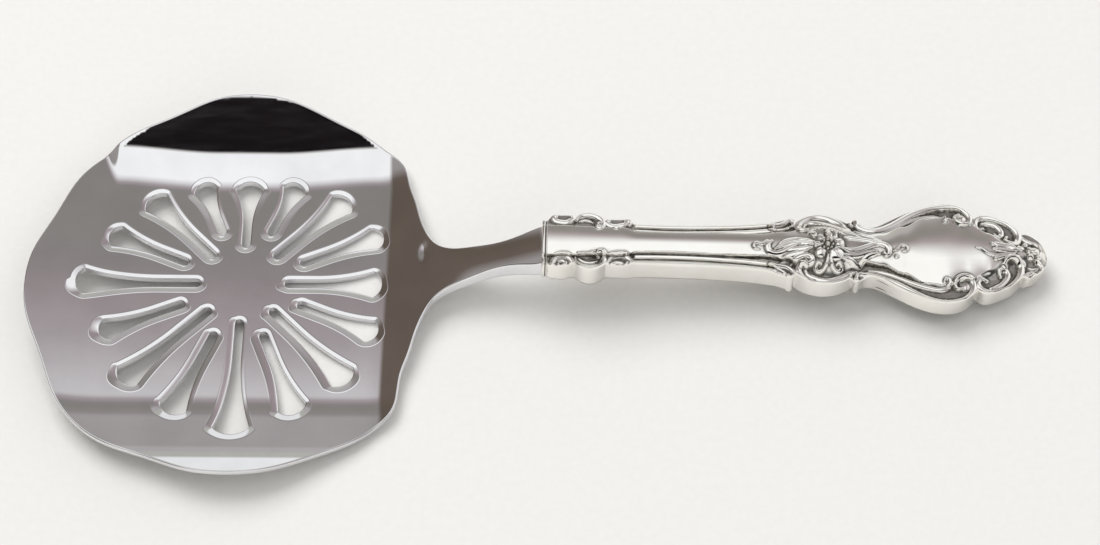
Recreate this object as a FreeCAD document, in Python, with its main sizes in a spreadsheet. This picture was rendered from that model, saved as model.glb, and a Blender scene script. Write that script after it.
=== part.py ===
import FreeCAD, Part
import math
import os
import Sketcher

# Tomato server: a pierced, folded serving pan with a solid neck and tang, held
# in a hollow handle of two ornamented halves that a collar closes at the mouth.
# Blade frame while modelling: X towards the handle, Z up from the flat top face
# of the pan, origin where the slots meet. Everything is then pitched as one, so
# that the heel and the handle's tip both rest on the plane Z = 0.

doc = FreeCAD.newDocument("tomato_server")

SIZES = [
    # pan
    ("sheet_thickness", 1.5),
    ("notch_radius", 40.4),
    ("lobe_rise", 1.7),
    ("heel_lobe_rise", 0.7),
    ("blank_shift", 1.5),
    ("toe_start", 28.0),
    ("toe_bend", 25.0),
    ("toe_angle", 12.0),
    ("front_start", 27.3),
    ("front_bend", 25.0),
    ("front_angle", 11.0),
    ("back_start", 21.0),
    ("back_bend", 14.0),
    ("back_angle", 30.0),
    ("heel_start", 26.8),
    ("heel_bend", 9.0),
    ("heel_angle", 26.0),
    # slots
    ("slot_start_long", 8.1),
    ("slot_start_short", 11.75),
    ("slot_stem_half", 0.87),
    ("slot_half_wide", 2.8),
    ("slot_half_slim", 2.4),
    ("slot_half_front", 3.5),
    ("slot_end_rise", 1.6),
    ("slot_flare_share", 0.68),
    ("coin_depth", 0.55),
    ("coin_width", 0.95),
    # neck and tang
    ("shoulder_reach", 31.7),
    ("shoulder_half", 21.0),
    ("neck_root_reach", 37.7),
    ("neck_root_half", 6.0),
    ("neck_waist_reach", 50.1),
    ("neck_waist_half", 2.95),
    ("neck_end_half", 4.2),
    ("neck_end_thickness", 5.4),
    ("neck_round", 1.1),
    ("neck_end_bend", 6.0),
    ("neck_inset", 3.0),
    ("seat_clearance", 0.05),
    ("tang_root", 0.5),
    ("tang_length", 52.5),
    ("tang_width", 4.0),
    ("tang_thickness", 3.0),
    # handle, along its own axis from the mouth
    ("mouth_reach", 59.0),
    ("mouth_height", 13.3),
    ("handle_droop", 1.8),
    ("ferrule_end", 16.2),
    ("curl_end", 46.7),
    ("bulge_end", 57.2),
    ("shield_end", 80.6),
    ("scroll_end", 89.3),
    ("handle_length", 94.3),
    ("mouth_half", 4.95),
    ("ferrule_half", 6.05),
    ("shaft_half", 4.5),
    ("curl_half", 6.45),
    ("bulge_half", 7.55),
    ("waist_half", 5.6),
    ("shield_half", 10.55),
    ("scroll_half", 8.5),
    ("wall_height", 2.5),
    ("crown_edge", 0.6),
    ("crown_rise", 1.8),
    ("shell_wall", 0.6),
    ("border_width", 2.5),
    ("shield_border", 3.8),
    ("reed_width", 0.8),
    ("reed_gap", 0.75),
    ("reed_rise", 0.8),
    ("relief_rise", 0.75),
    ("collar_length", 1.0),
    ("collar_lip", 0.15),
    ("collar_clearance", 0.15),
    ("cement_clearance", 0.05),
]

SLOT_REACH = [26.9, 28.8, 27.4, 24.5, 22.9, 24.4, 27.4, 28.9,
              32.3, 29.0, 30.7, 31.1, 33.4, 30.9, 30.4, 28.7]

sheet = doc.addObject("Spreadsheet::Sheet", "Sizes")
rows = list(SIZES)
for index, reach in enumerate(SLOT_REACH):
    rows.append(("slot_reach_%02d" % index, reach))
for row, (name, value) in enumerate(rows, start=1):
    sheet.set("A%d" % row, name)
    sheet.set("B%d" % row, str(value))
    sheet.setAlias("B%d" % row, name)
doc.recompute()
S = {name: float(sheet.get(name)) for name, value in rows}


def worth(expression):
    """The number that an expression over the sheet gives."""
    found = sheet.evalExpression(expression)
    return float(getattr(found, "Value", found))


def plane_of(body, role):
    for feature in body.Origin.OriginFeatures:
        if feature.Role == role:
            return feature
    raise ValueError(role)


def new_sketch(body, name, role, angle=None, lift=None):
    sketch = body.newObject("Sketcher::SketchObject", name)
    sketch.AttachmentSupport = [(plane_of(body, role), "")]
    sketch.MapMode = "FlatFace"
    if lift is not None:
        sketch.setExpression("AttachmentOffset.Base.z", lift)
    if angle is not None:
        turn = FreeCAD.Rotation(FreeCAD.Vector(0, 0, 1), angle)
        base = sketch.AttachmentOffset.Base
        sketch.AttachmentOffset = FreeCAD.Placement(base, turn)
    return sketch


def bind(sketch, kind, where, expression):
    """Adds one driving dimension and ties it to the sheet."""
    value = worth(expression)
    if kind == "Radius":
        index = sketch.addConstraint(Sketcher.Constraint("Radius", where[0], value))
    else:
        index = sketch.addConstraint(Sketcher.Constraint(kind, -1, 1, where[0], where[1], value))
    sketch.setExpression("Constraints[%d]" % index, expression)


def rounded_chain(sketch, corners, closed):
    """Lines through corners (x, y, radius or None), each radius a tangent arc."""
    spots = [FreeCAD.Vector(worth(x), worth(y), 0) for x, y, radius in corners]
    count = len(corners)
    joints = []
    for index, (x, y, radius) in enumerate(corners):
        here = spots[index]
        if radius is None:
            joints.append((here, here, None))
            continue
        before = (spots[index - 1] - here).normalize()
        after = (spots[(index + 1) % count] - here).normalize()
        half = before.getAngle(after) / 2
        size = worth(radius)
        run = size / math.tan(half)
        middle = (before + after).normalize()
        centre = here + middle * (size / math.sin(half))
        nearest = centre - middle * size
        joints.append((here + before * run, here + after * run, (nearest, centre)))
    last = count if closed else count - 1
    lines = []
    for index in range(last):
        start = joints[index][1]
        end = joints[(index + 1) % count][0]
        lines.append(sketch.addGeometry(Part.LineSegment(start, end), False))
    for index, (x, y, radius) in enumerate(corners):
        into = lines[index - 1] if (closed or index > 0) else None
        out = lines[index] if index < last else None
        if radius is not None:
            first, second, (nearest, centre) = joints[index]
            arc = sketch.addGeometry(Part.Arc(first, nearest, second), False)
            flipped = sketch.getPoint(arc, 1).distanceToPoint(first) > 1e-6
            head, tail = (2, 1) if flipped else (1, 2)
            sketch.addConstraint(Sketcher.Constraint("Tangent", into, 2, arc, head))
            sketch.addConstraint(Sketcher.Constraint("Tangent", arc, tail, out, 1))
            corner = sketch.addGeometry(Part.Point(spots[index]), True)
            sketch.addConstraint(Sketcher.Constraint("PointOnObject", corner, 1, into))
            sketch.addConstraint(Sketcher.Constraint("PointOnObject", corner, 1, out))
            bind(sketch, "Radius", (arc,), radius)
            target = (corner, 1)
        elif into is not None and out is not None:
            sketch.addConstraint(Sketcher.Constraint("Coincident", into, 2, out, 1))
            target = (out, 1)
        else:
            target = (into, 2) if out is None else (out, 1)
        bind(sketch, "DistanceX", target, x)
        bind(sketch, "DistanceY", target, y)


def fold_height(reach, start, bend, angle):
    """Height and plan distance after a fold, from the distance along the blank."""
    turn = math.radians(angle)
    if reach <= start:
        return reach, 0.0
    along = reach - start
    if along < bend * turn:
        part = along / bend
        return start + bend * math.sin(part), bend * (1 - math.cos(part))
    rest = along - bend * turn
    plan = start + bend * math.sin(turn) + rest * math.cos(turn)
    return plan, bend * (1 - math.cos(turn)) + rest * math.sin(turn)


def blank_to_plan(across, along):
    """Where a point of the flat blank lies in plan once the pan is folded."""
    if across >= 0:
        x = fold_height(across, S["heel_start"] - heel_run, S["heel_bend"], S["heel_angle"])[0]
    else:
        x = -fold_height(-across, S["toe_start"] - toe_run, S["toe_bend"], S["toe_angle"])[0]
    if along >= 0:
        y = fold_height(along, S["back_start"], S["back_bend"], S["back_angle"])[0]
    else:
        y = -fold_height(-along, S["front_start"] - front_run, S["front_bend"], S["front_angle"])[0]
    return FreeCAD.Vector(x, y, 0)


# Half of each bend's own length in plan, from its corner to where it starts.
heel_run = S["heel_bend"] * math.tan(math.radians(S["heel_angle"]) / 2)
toe_run = S["toe_bend"] * math.tan(math.radians(S["toe_angle"]) / 2)
front_run = S["front_bend"] * math.tan(math.radians(S["front_angle"]) / 2)

# Blade: the side profile, thick at the neck, is carried along the cross profile.
OUTER = "(Sizes.notch_radius + 8)"
TOE_UP = "(%s - Sizes.toe_start) * tan(Sizes.toe_angle)" % OUTER
NECK_TOP = "(Sizes.mouth_reach - Sizes.heel_start) * tan(Sizes.heel_angle)"
NECK_FOOT = "(Sizes.neck_root_reach - 2 - Sizes.heel_start) * tan(Sizes.heel_angle)"
NECK_MID = "(Sizes.neck_root_reach + 7 - Sizes.heel_start) * tan(Sizes.heel_angle)"
SLANT = "Sizes.sheet_thickness / cos(Sizes.heel_angle)"
UNDER_HEEL = "Sizes.heel_start + Sizes.sheet_thickness * tan(Sizes.heel_angle / 2)"
UNDER_TOE = "-(Sizes.toe_start + Sizes.sheet_thickness * tan(Sizes.toe_angle / 2))"
END_X = "Sizes.mouth_reach + Sizes.neck_inset"
END_TOP = "%s - Sizes.neck_inset * tan(Sizes.handle_droop)" % NECK_TOP

pan = doc.addObject("PartDesign::Body", "pan_sheet")
cross = new_sketch(pan, "cross_profile", "YZ_Plane")
rounded_chain(cross, [
    ("-" + OUTER, "(%s - Sizes.front_start) * tan(Sizes.front_angle)" % OUTER, None),
    ("-Sizes.front_start", "0", "Sizes.front_bend"),
    ("Sizes.back_start + Sizes.back_bend * tan(Sizes.back_angle / 2)", "0", "Sizes.back_bend"),
    (OUTER, "(%s - Sizes.back_start - Sizes.back_bend * tan(Sizes.back_angle / 2))"
     " * tan(Sizes.back_angle)" % OUTER, None),
], False)
side = new_sketch(pan, "side_profile", "XZ_Plane")
rounded_chain(side, [
    ("-" + OUTER, TOE_UP, None),
    ("-Sizes.toe_start", "0", "Sizes.toe_bend"),
    ("Sizes.heel_start", "0", "Sizes.heel_bend"),
    ("Sizes.mouth_reach", NECK_TOP, "Sizes.neck_end_bend"),
    (END_X, END_TOP, None),
    (END_X, "%s - Sizes.neck_end_thickness" % END_TOP, None),
    ("Sizes.mouth_reach - 1", "%s - Sizes.neck_end_thickness" % NECK_TOP,
     "Sizes.neck_end_bend + Sizes.neck_end_thickness"),
    ("Sizes.neck_root_reach + 7", "%s - 0.66 * Sizes.neck_end_thickness" % NECK_MID,
     "2 * Sizes.neck_end_bend"),
    ("Sizes.neck_root_reach - 2", "%s - %s" % (NECK_FOOT, SLANT), "2 * Sizes.neck_end_bend"),
    (UNDER_HEEL, "-Sizes.sheet_thickness", "Sizes.heel_bend + Sizes.sheet_thickness"),
    (UNDER_TOE, "-Sizes.sheet_thickness", "Sizes.toe_bend + Sizes.sheet_thickness"),
    ("-" + OUTER, "%s - Sizes.sheet_thickness / cos(Sizes.toe_angle)" % TOE_UP, None),
], True)
sweep = pan.newObject("PartDesign::AdditivePipe", "folded_sheet")
sweep.Profile = side
sweep.Spine = (cross, [])
sweep.Mode = "Fixed"

# Outline of the blank, carried to plan, with shoulders that run into the neck.
LOBES = 8
HEEL_LOBE = 67.5
RIM_FROM = 42.0


def rim_radius(angle):
    """Blank radius at an angle in degrees: shallow lobes between soft notches."""
    pitch = 360.0 / LOBES
    offset = abs((angle / pitch + 0.5) % 1.0 - 0.5) * 2
    heel = min(angle, 360 - angle) < HEEL_LOBE
    rise = S["heel_lobe_rise"] if heel else S["lobe_rise"]
    return S["notch_radius"] + rise * (1 - offset ** 2)


def rim_points():
    pitch = 360.0 / LOBES
    angles = [RIM_FROM, 48.0, 56.0, 64.0]
    for lobe in range(2, LOBES - 1):
        angles += [pitch * (lobe + 0.5 * share) for share in (-0.84, -0.45, 0.0, 0.45, 0.84)]
    angles += [296.0, 304.0, 312.0, 360.0 - RIM_FROM]
    points = []
    for angle in angles:
        turn = math.radians(angle)
        radius = rim_radius(angle)
        points.append(blank_to_plan(radius * math.cos(turn), radius * math.sin(turn) - S["blank_shift"]))
    return points


def neck_edge():
    """Half-width of shoulders and neck against distance from the slots' centre."""
    waist = S["neck_waist_reach"]
    ease = (S["neck_root_half"] + S["neck_waist_half"]) / 2 - 0.2
    return [
        (S["shoulder_reach"], S["shoulder_half"]),
        (S["shoulder_reach"] + 1.2, S["shoulder_half"] - 3.7),
        (S["shoulder_reach"] + 2.3, S["shoulder_half"] - 7.8),
        (S["neck_root_reach"] - 2.3, S["neck_root_half"] + 3.4),
        (S["neck_root_reach"], S["neck_root_half"]),
        (S["neck_root_reach"] + 3.1, ease),
        (waist - 6.0, S["neck_waist_half"] + 0.65),
        (waist, S["neck_waist_half"]),
        ((waist + S["mouth_reach"]) / 2, S["neck_waist_half"] + 0.62),
        (S["mouth_reach"] - 1.3, S["neck_end_half"]),
        (S["mouth_reach"] + S["neck_inset"], S["neck_end_half"]),
    ]


edge = neck_edge()
upper = [FreeCAD.Vector(x, y, 0) for x, y in reversed(edge)]
lower = [FreeCAD.Vector(x, -y, 0) for x, y in edge]
rim = Part.BSplineCurve()
rim.interpolate(upper + rim_points() + lower)
closing = Part.LineSegment(lower[-1], upper[0])
outline = Part.Face(Part.Wire([rim.toShape(), closing.toShape()]))
outline.translate(FreeCAD.Vector(0, 0, -20))
stamp = doc.addObject("Part::Feature", "blank_outline")
stamp.Shape = outline.extrude(FreeCAD.Vector(0, 0, 60))
trimmed = doc.addObject("Part::Common", "trimmed_sheet")
trimmed.Base = pan
trimmed.Tool = stamp


def slot_outline(sketch, start, reach, half, grow):
    """Teardrop slot along X: round inner end, stem, flare and convex outer end."""
    stem = "(Sizes.slot_stem_half + %s)" % grow
    wide = "(%s + %s)" % (half, grow)
    inner = "(%s + Sizes.slot_stem_half)" % start
    shoulder = "(%s - Sizes.slot_end_rise)" % reach
    flare = "(%s - Sizes.slot_flare_share * (%s - %s))" % (shoulder, shoulder, inner)
    tip = "(%s + %s)" % (reach, grow)
    x0, x1, x2, x3 = worth(inner), worth(flare), worth(shoulder), worth(tip)
    y1, y2 = worth(stem), worth(wide)
    run = x2 - x1
    climb = y2 - y1
    bend = (run * run + climb * climb) / (2 * climb)
    turn = math.asin(run / bend) / 2
    mid_x = x1 + bend * math.sin(turn)
    mid_y = y1 + bend * (1 - math.cos(turn))
    V = FreeCAD.Vector
    shapes = [
        Part.Arc(V(x0, y1, 0), V(x0 - y1, 0, 0), V(x0, -y1, 0)),
        Part.LineSegment(V(x0, -y1, 0), V(x1, -y1, 0)),
        Part.Arc(V(x1, -y1, 0), V(mid_x, -mid_y, 0), V(x2, -y2, 0)),
        Part.Arc(V(x2, -y2, 0), V(x3, 0, 0), V(x2, y2, 0)),
        Part.Arc(V(x2, y2, 0), V(mid_x, mid_y, 0), V(x1, y1, 0)),
        Part.LineSegment(V(x1, y1, 0), V(x0, y1, 0)),
    ]
    ids = [sketch.addGeometry(shape, False) for shape in shapes]

    def ends(index, first):
        at_start = sketch.getPoint(ids[index], 1).distanceToPoint(first) < 1e-6
        return (1, 2) if at_start else (2, 1)

    chain = [ends(0, V(x0, y1, 0)), (1, 2), ends(2, V(x1, -y1, 0)),
             ends(3, V(x2, -y2, 0)), ends(4, V(x2, y2, 0)), (1, 2)]
    kinds = ["Tangent", "Tangent", "Coincident", "Coincident", "Tangent", "Tangent"]
    for index, kind in enumerate(kinds):
        following = (index + 1) % 6
        sketch.addConstraint(Sketcher.Constraint(
            kind, ids[index], chain[index][1], ids[following], chain[following][0]))
    sketch.addConstraint(Sketcher.Constraint("PointOnObject", ids[0], 3, -1))
    sketch.addConstraint(Sketcher.Constraint("PointOnObject", ids[3], 3, -1))
    sketch.addConstraint(Sketcher.Constraint("Horizontal", ids[1]))
    bind(sketch, "Radius", (ids[0],), stem)
    bind(sketch, "DistanceX", (ids[0], 3), inner)
    bind(sketch, "DistanceX", (ids[2], chain[2][0]), flare)
    bind(sketch, "DistanceX", (ids[4], chain[4][1]), flare)
    bind(sketch, "DistanceX", (ids[3], chain[3][1]), shoulder)
    bind(sketch, "DistanceY", (ids[3], chain[3][1]), wide)
    rise = "(%s - %s)" % (tip, shoulder)
    bind(sketch, "Radius", (ids[3],), "(%s ^ 2 + %s ^ 2) / (2 * %s)" % (wide, rise, rise))


def slot_body(index):
    """One slot's punch: the coined edge widens upwards around the through cut."""
    start = "Sizes.slot_start_short" if index % 2 else "Sizes.slot_start_long"
    half = "Sizes.slot_half_slim" if index % 2 else "Sizes.slot_half_wide"
    if index in (11, 13):
        half = "Sizes.slot_half_wide"
    if index == 12:
        half = "Sizes.slot_half_front"
    reach = "Sizes.slot_reach_%02d" % index
    angle = index * 360.0 / len(SLOT_REACH)
    body = doc.addObject("PartDesign::Body", "slot_%02d" % index)
    through = new_sketch(body, "slot_through_%02d" % index, "XY_Plane", angle)
    slot_outline(through, start, reach, half, "0")
    punch = body.newObject("PartDesign::Pad", "punch_%02d" % index)
    punch.Profile = through
    punch.setExpression("Length", "4 * Sizes.sheet_thickness")
    punch.Midplane = True
    lower = new_sketch(body, "slot_edge_%02d" % index, "XY_Plane", angle, "-Sizes.coin_depth")
    slot_outline(lower, start, reach, half, "0.01")
    upper = new_sketch(body, "slot_coined_%02d" % index, "XY_Plane", angle, "Sizes.coin_depth")
    slot_outline(upper, start, reach, half, "2 * Sizes.coin_width")
    coin = body.newObject("PartDesign::AdditiveLoft", "coin_%02d" % index)
    coin.Profile = lower
    coin.Sections = [upper]
    coin.Ruled = True
    return body


slots = [slot_body(index) for index in range(len(SLOT_REACH))]
doc.recompute()
soft = []
for number, line in enumerate(trimmed.Shape.Edges, start=1):
    spot = line.valueAt((line.FirstParameter + line.LastParameter) / 2)
    box = line.BoundBox
    under = (spot.x - S["heel_start"]) * math.tan(math.radians(S["heel_angle"])) - 2.4
    long_run = box.XLength > 0.8 and abs(spot.y) > 1.0
    if spot.x > S["neck_root_reach"] + 4 and spot.z < min(under, 12.5) and long_run:
        soft.append((number, S["neck_round"], S["neck_round"]))
rounded_neck = doc.addObject("Part::Fillet", "rounded_neck")
rounded_neck.Base = trimmed
rounded_neck.Edges = soft
punches = doc.addObject("Part::MultiFuse", "slot_punches")
punches.Shapes = slots
pierced = doc.addObject("Part::Cut", "pierced_sheet")
pierced.Base = rounded_neck
pierced.Tool = punches


def handle_place(along, across, above):
    """Placement at a point of the handle's own axes, given in the blade frame."""
    droop = FreeCAD.Rotation(FreeCAD.Vector(0, 1, 0), S["handle_droop"])
    mouth = FreeCAD.Vector(S["mouth_reach"], 0, S["mouth_height"])
    return FreeCAD.Placement(mouth + droop.multVec(FreeCAD.Vector(along, across, above)), droop)


tang = doc.addObject("Part::Box", "tang")
tang.setExpression("Length", "Sizes.tang_length")
tang.setExpression("Width", "Sizes.tang_width")
tang.setExpression("Height", "Sizes.tang_thickness")
tang.Placement = handle_place(-S["tang_root"], -S["tang_width"] / 2, -S["tang_thickness"] / 2)
# The neck ends square at the handle's mouth, and only the tang goes on inside.
square_end = doc.addObject("Part::Box", "neck_square_end")
square_end.setExpression("Length", "3 * Sizes.neck_inset")
square_end.setExpression("Width", "6 * Sizes.neck_end_half")
square_end.setExpression("Height", "6 * Sizes.neck_end_half")
square_end.Placement = handle_place(-S["seat_clearance"], -3 * S["neck_end_half"], -3 * S["neck_end_half"])
seated = doc.addObject("Part::Cut", "seated_neck")
seated.Base = pierced
seated.Tool = square_end
blade = doc.addObject("Part::Fuse", "blade")
blade.Base = seated
blade.Tool = tang


# Handle: one half is built above its seam plane, the other is its mirror image.
def between(first, last, shares):
    """Points from share-and-half-width pairs along one stretch of the edge."""
    return [(first + (last - first) * share, half) for share, half in shares]


def handle_edge():
    """Stretches of the half-outline from mouth to tip, with a cusp between each."""
    third = S["ferrule_end"] / 3
    stretches = [
        between(0.0, third - 0.2, [(0, S["mouth_half"]), (0.55, S["mouth_half"] + 0.3),
                                   (1, S["mouth_half"] - 0.35)]),
        between(third - 0.2, 2 * third + 0.2, [(0, S["mouth_half"] - 0.35), (0.2, 5.55),
                                               (0.5, S["ferrule_half"]), (0.8, 5.45),
                                               (1, S["mouth_half"] - 0.35)]),
        between(2 * third + 0.2, S["ferrule_end"], [(0, S["mouth_half"] - 0.35),
                                                    (0.5, S["mouth_half"] - 0.05),
                                                    (1, S["shaft_half"] - 0.05)]),
        between(S["ferrule_end"], S["curl_end"], [(0, S["shaft_half"] - 0.05), (0.3, S["shaft_half"]),
                                                  (0.55, S["shaft_half"] + 0.2),
                                                  (0.79, S["shaft_half"] + 0.75),
                                                  (0.93, S["curl_half"] - 0.2), (0.98, S["curl_half"]),
                                                  (1, S["curl_half"] - 0.75)]),
        between(S["curl_end"], S["bulge_end"], [(0, S["curl_half"] - 0.75), (0.14, S["bulge_half"] - 0.9),
                                                (0.45, S["bulge_half"]), (0.72, S["bulge_half"] - 0.3),
                                                (1, S["bulge_half"] - 1.6)]),
        between(S["bulge_end"], S["shield_end"], [(0, S["bulge_half"] - 1.6), (0.03, S["waist_half"] + 1.1),
                                                  (0.09, S["waist_half"] + 0.35), (0.18, S["waist_half"]),
                                                  (0.28, S["waist_half"] + 1.0),
                                                  (0.41, S["shield_half"] - 2.35),
                                                  (0.57, S["shield_half"] - 0.85),
                                                  (0.76, S["shield_half"]),
                                                  (0.89, S["shield_half"] - 0.7),
                                                  (1, S["shield_half"] - 2.8)]),
        between(S["shield_end"], S["scroll_end"], [(0, S["shield_half"] - 2.8), (0.12, S["scroll_half"]),
                                                   (0.5, S["scroll_half"] - 0.65),
                                                   (0.75, S["scroll_half"] - 1.7),
                                                   (1, S["scroll_half"] - 3.8)]),
        between(S["scroll_end"], S["handle_length"], [(0, S["scroll_half"] - 3.8), (0.14, 4.85),
                                                      (0.42, 4.0), (0.7, 2.6), (0.92, 1.1), (1, 0.0)]),
    ]
    return stretches


def edge_half(along):
    """Half-width of the handle's outline at one place, straight between points."""
    for stretch in handle_edge():
        for (u0, h0), (u1, h1) in zip(stretch, stretch[1:]):
            if u0 <= along <= u1:
                return h0 + (h1 - h0) * (along - u0) / (u1 - u0)
    return 0.0


def curve_through(points):
    vectors = [FreeCAD.Vector(x, y, 0) for x, y in points]
    curve = Part.BSplineCurve()
    curve.interpolate(vectors)
    return curve.toShape()


def handle_face():
    """Closed outline of the handle, seen from the front."""
    edges = []
    for stretch in handle_edge():
        edges.append(curve_through(stretch))
        edges.append(curve_through([(x, -y) for x, y in stretch]))
    half = S["mouth_half"]
    edges.append(Part.LineSegment(FreeCAD.Vector(0, half, 0), FreeCAD.Vector(0, -half, 0)).toShape())
    return Part.Face(Part.Wire(Part.__sortEdges__(edges)))


RELIEF_ROOT = 0.5
LOBE_DEPTH = 0.35
HOLLOW_POINTS = 24
SCROLL_FACET = 28.0
FIELD_SECTIONS = 12
FIELD_LENGTH = 0.955


def field_half(along):
    """Half-width of the plain convex field between the borders."""
    share = along / S["handle_length"]
    ease = min(max((share - 0.6) / 0.2, 0.0), 1.0)
    border = S["border_width"] + (S["shield_border"] - S["border_width"]) * ease
    return max(smooth_half(along) - border, 0.9)


def smooth_half(along):
    """The outline's half-width without its small lobes, for the field inside."""
    stations = [(0.0, S["mouth_half"]), (S["ferrule_end"], S["shaft_half"]),
                (S["curl_end"] - 12, S["shaft_half"] + 0.4),
                (S["curl_end"] + 5, S["bulge_half"] - 1.0), (S["bulge_end"] + 4, S["waist_half"]),
                ((S["bulge_end"] + S["shield_end"]) / 2 + 1, S["shield_half"] - 1.2),
                (S["shield_end"] - 4.5, S["shield_half"]), (S["scroll_end"] - 3, S["scroll_half"] - 1.4),
                (S["handle_length"], 2.0)]
    for (u0, h0), (u1, h1) in zip(stations, stations[1:]):
        if u0 <= along <= u1:
            ease = (1 - math.cos(math.pi * (along - u0) / (u1 - u0))) / 2
            return h0 + (h1 - h0) * ease
    return 2.0


def crown(inset):
    """The convex field as a loft of arched sections, drawn in by a wall's inset."""
    wires = []
    base = S["wall_height"] - S["crown_rise"] - inset
    for step in range(FIELD_SECTIONS + 1):
        along = FIELD_LENGTH * S["handle_length"] * step / FIELD_SECTIONS
        half = max(field_half(along) - inset, 0.3)
        if inset > 0:
            along = along * (1 - inset / S["handle_length"])
        low = S["wall_height"] + S["crown_edge"] - inset
        high = S["wall_height"] + S["crown_rise"] - inset
        a = FreeCAD.Vector(along, -half, base)
        b = FreeCAD.Vector(along, -half, low)
        top = FreeCAD.Vector(along, 0, high)
        c = FreeCAD.Vector(along, half, low)
        d = FreeCAD.Vector(along, half, base)
        wires.append(Part.Wire([Part.LineSegment(a, b).toShape(), Part.Arc(b, top, c).toShape(),
                                Part.LineSegment(c, d).toShape(), Part.LineSegment(d, a).toShape()]))
    return Part.makeLoft(wires, True, False)


def cavity(inset):
    """Hollow of one half: it follows the plain outline, drawn in by the wall."""
    end = S["handle_length"] - 4 * S["shell_wall"]
    points = []
    for step in range(HOLLOW_POINTS + 1):
        along = end * step / HOLLOW_POINTS
        points.append((along, smooth_half(along) - LOBE_DEPTH - inset))
    below = [(x, -y) for x, y in points]
    closing = []
    for first, second in ((points[0], below[0]), (points[-1], below[-1])):
        closing.append(Part.LineSegment(FreeCAD.Vector(first[0], first[1], 0),
                                        FreeCAD.Vector(second[0], second[1], 0)).toShape())
    edges = [curve_through(points), curve_through(below)] + closing
    inner = Part.Face(Part.Wire(Part.__sortEdges__(edges)))
    hollow = inner.extrude(FreeCAD.Vector(0, 0, S["wall_height"] - inset))
    return hollow.fuse(crown(inset))


def reed(first, last, depth):
    """A raised line that follows the edge, a given depth inside it."""
    steps = max(int((last - first) / 1.2), 6)
    outer = []
    inner = []
    for step in range(steps + 1):
        along = first + (last - first) * step / steps
        half = min(edge_half(along), smooth_half(along) + 0.25)
        outer.append((along, half - depth))
        inner.append((along, half - depth - S["reed_width"]))
    shapes = []
    for side in (1, -1):
        first_edge = curve_through([(x, side * y) for x, y in outer])
        second_edge = curve_through([(x, side * y) for x, y in inner])
        ends = []
        for index in (0, -1):
            ends.append(Part.LineSegment(FreeCAD.Vector(outer[index][0], side * outer[index][1], 0),
                                         FreeCAD.Vector(inner[index][0], side * inner[index][1], 0)).toShape())
        face = Part.Face(Part.Wire(Part.__sortEdges__([first_edge, second_edge] + ends)))
        face.translate(FreeCAD.Vector(0, 0, S["wall_height"] - 0.4))
        shapes.append(face.extrude(FreeCAD.Vector(0, 0, 0.4 + S["reed_rise"])))
    return shapes


def scroll(along, across, radius, start, sweep, foot, width=0.8):
    """A ridged arc in straight facets, and its mirror image across the middle."""
    rise = S["relief_rise"]
    profile = [(radius - width / 2, foot - RELIEF_ROOT), (radius - width / 2, foot + 0.3 * rise),
               (radius, foot + rise), (radius + width / 2, foot + 0.3 * rise),
               (radius + width / 2, foot - RELIEF_ROOT)]
    count = len(profile)
    steps = max(int(sweep / SCROLL_FACET + 0.5), 3)
    shapes = []
    for side in (1, -1):
        rings = []
        for step in range(steps + 1):
            turn = math.radians(start + sweep * step / steps)
            rings.append([FreeCAD.Vector(along + r * math.cos(turn), side * (across + r * math.sin(turn)), z)
                          for r, z in profile])
        faces = [Part.Face(Part.makePolygon(ring + ring[:1])) for ring in (rings[0], rings[-1])]
        for ring, following in zip(rings, rings[1:]):
            for index in range(count):
                other = (index + 1) % count
                patch = [ring[index], ring[other], following[other], following[index], ring[index]]
                faces.append(Part.Face(Part.makePolygon(patch)))
        shapes.append(Part.Solid(Part.Shell(faces)))
    return shapes


def gem(corners, lift, apex):
    """A low prism on a flat polygon with a pyramid on top: a leaf, petal or bead."""
    count = len(corners)
    raised = [corner + FreeCAD.Vector(0, 0, lift) for corner in corners]
    faces = [Part.Face(Part.makePolygon(corners + corners[:1]))]
    for index in range(count):
        following = (index + 1) % count
        side = [corners[index], corners[following], raised[following], raised[index], corners[index]]
        faces.append(Part.Face(Part.makePolygon(side)))
        slope = [raised[index], raised[following], apex, raised[index]]
        faces.append(Part.Face(Part.makePolygon(slope)))
    return Part.Solid(Part.Shell(faces))


def bead(along, across, radius, foot, rise, sides=8, root=0.5):
    corners = []
    for index in range(sides):
        turn = 2 * math.pi * index / sides
        corners.append(FreeCAD.Vector(along + radius * math.cos(turn), across + radius * math.sin(turn),
                                      foot - root))
    return gem(corners, root + 0.4 * rise, FreeCAD.Vector(along, across, foot + rise))


def leaf(along, across, angle, length, width, foot, rise):
    """A pointed leaf from its root, highest a third of the way along."""
    turn = math.radians(angle)
    forward = FreeCAD.Vector(math.cos(turn), math.sin(turn), 0)
    aside = FreeCAD.Vector(-math.sin(turn), math.cos(turn), 0)
    root = FreeCAD.Vector(along, across, foot - RELIEF_ROOT)
    corners = [root, root + forward * (0.4 * length) - aside * (width / 2), root + forward * length,
               root + forward * (0.4 * length) + aside * (width / 2)]
    apex = root + forward * (0.35 * length) + FreeCAD.Vector(0, 0, RELIEF_ROOT + rise)
    return gem(corners, RELIEF_ROOT + 0.2 * rise, apex)


def blossom(along, across, petal, foot):
    """Five petals about a raised centre."""
    shapes = [bead(along, across, 0.45 * petal, foot + 0.3, 0.5 * petal, 8, 0.9)]
    for index in range(5):
        turn = math.radians(90 + 72 * index)
        shapes.append(bead(along + 1.08 * petal * math.cos(turn), across + 1.08 * petal * math.sin(turn),
                           0.6 * petal, foot, 0.45 * petal, 7))
    return shapes


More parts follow.
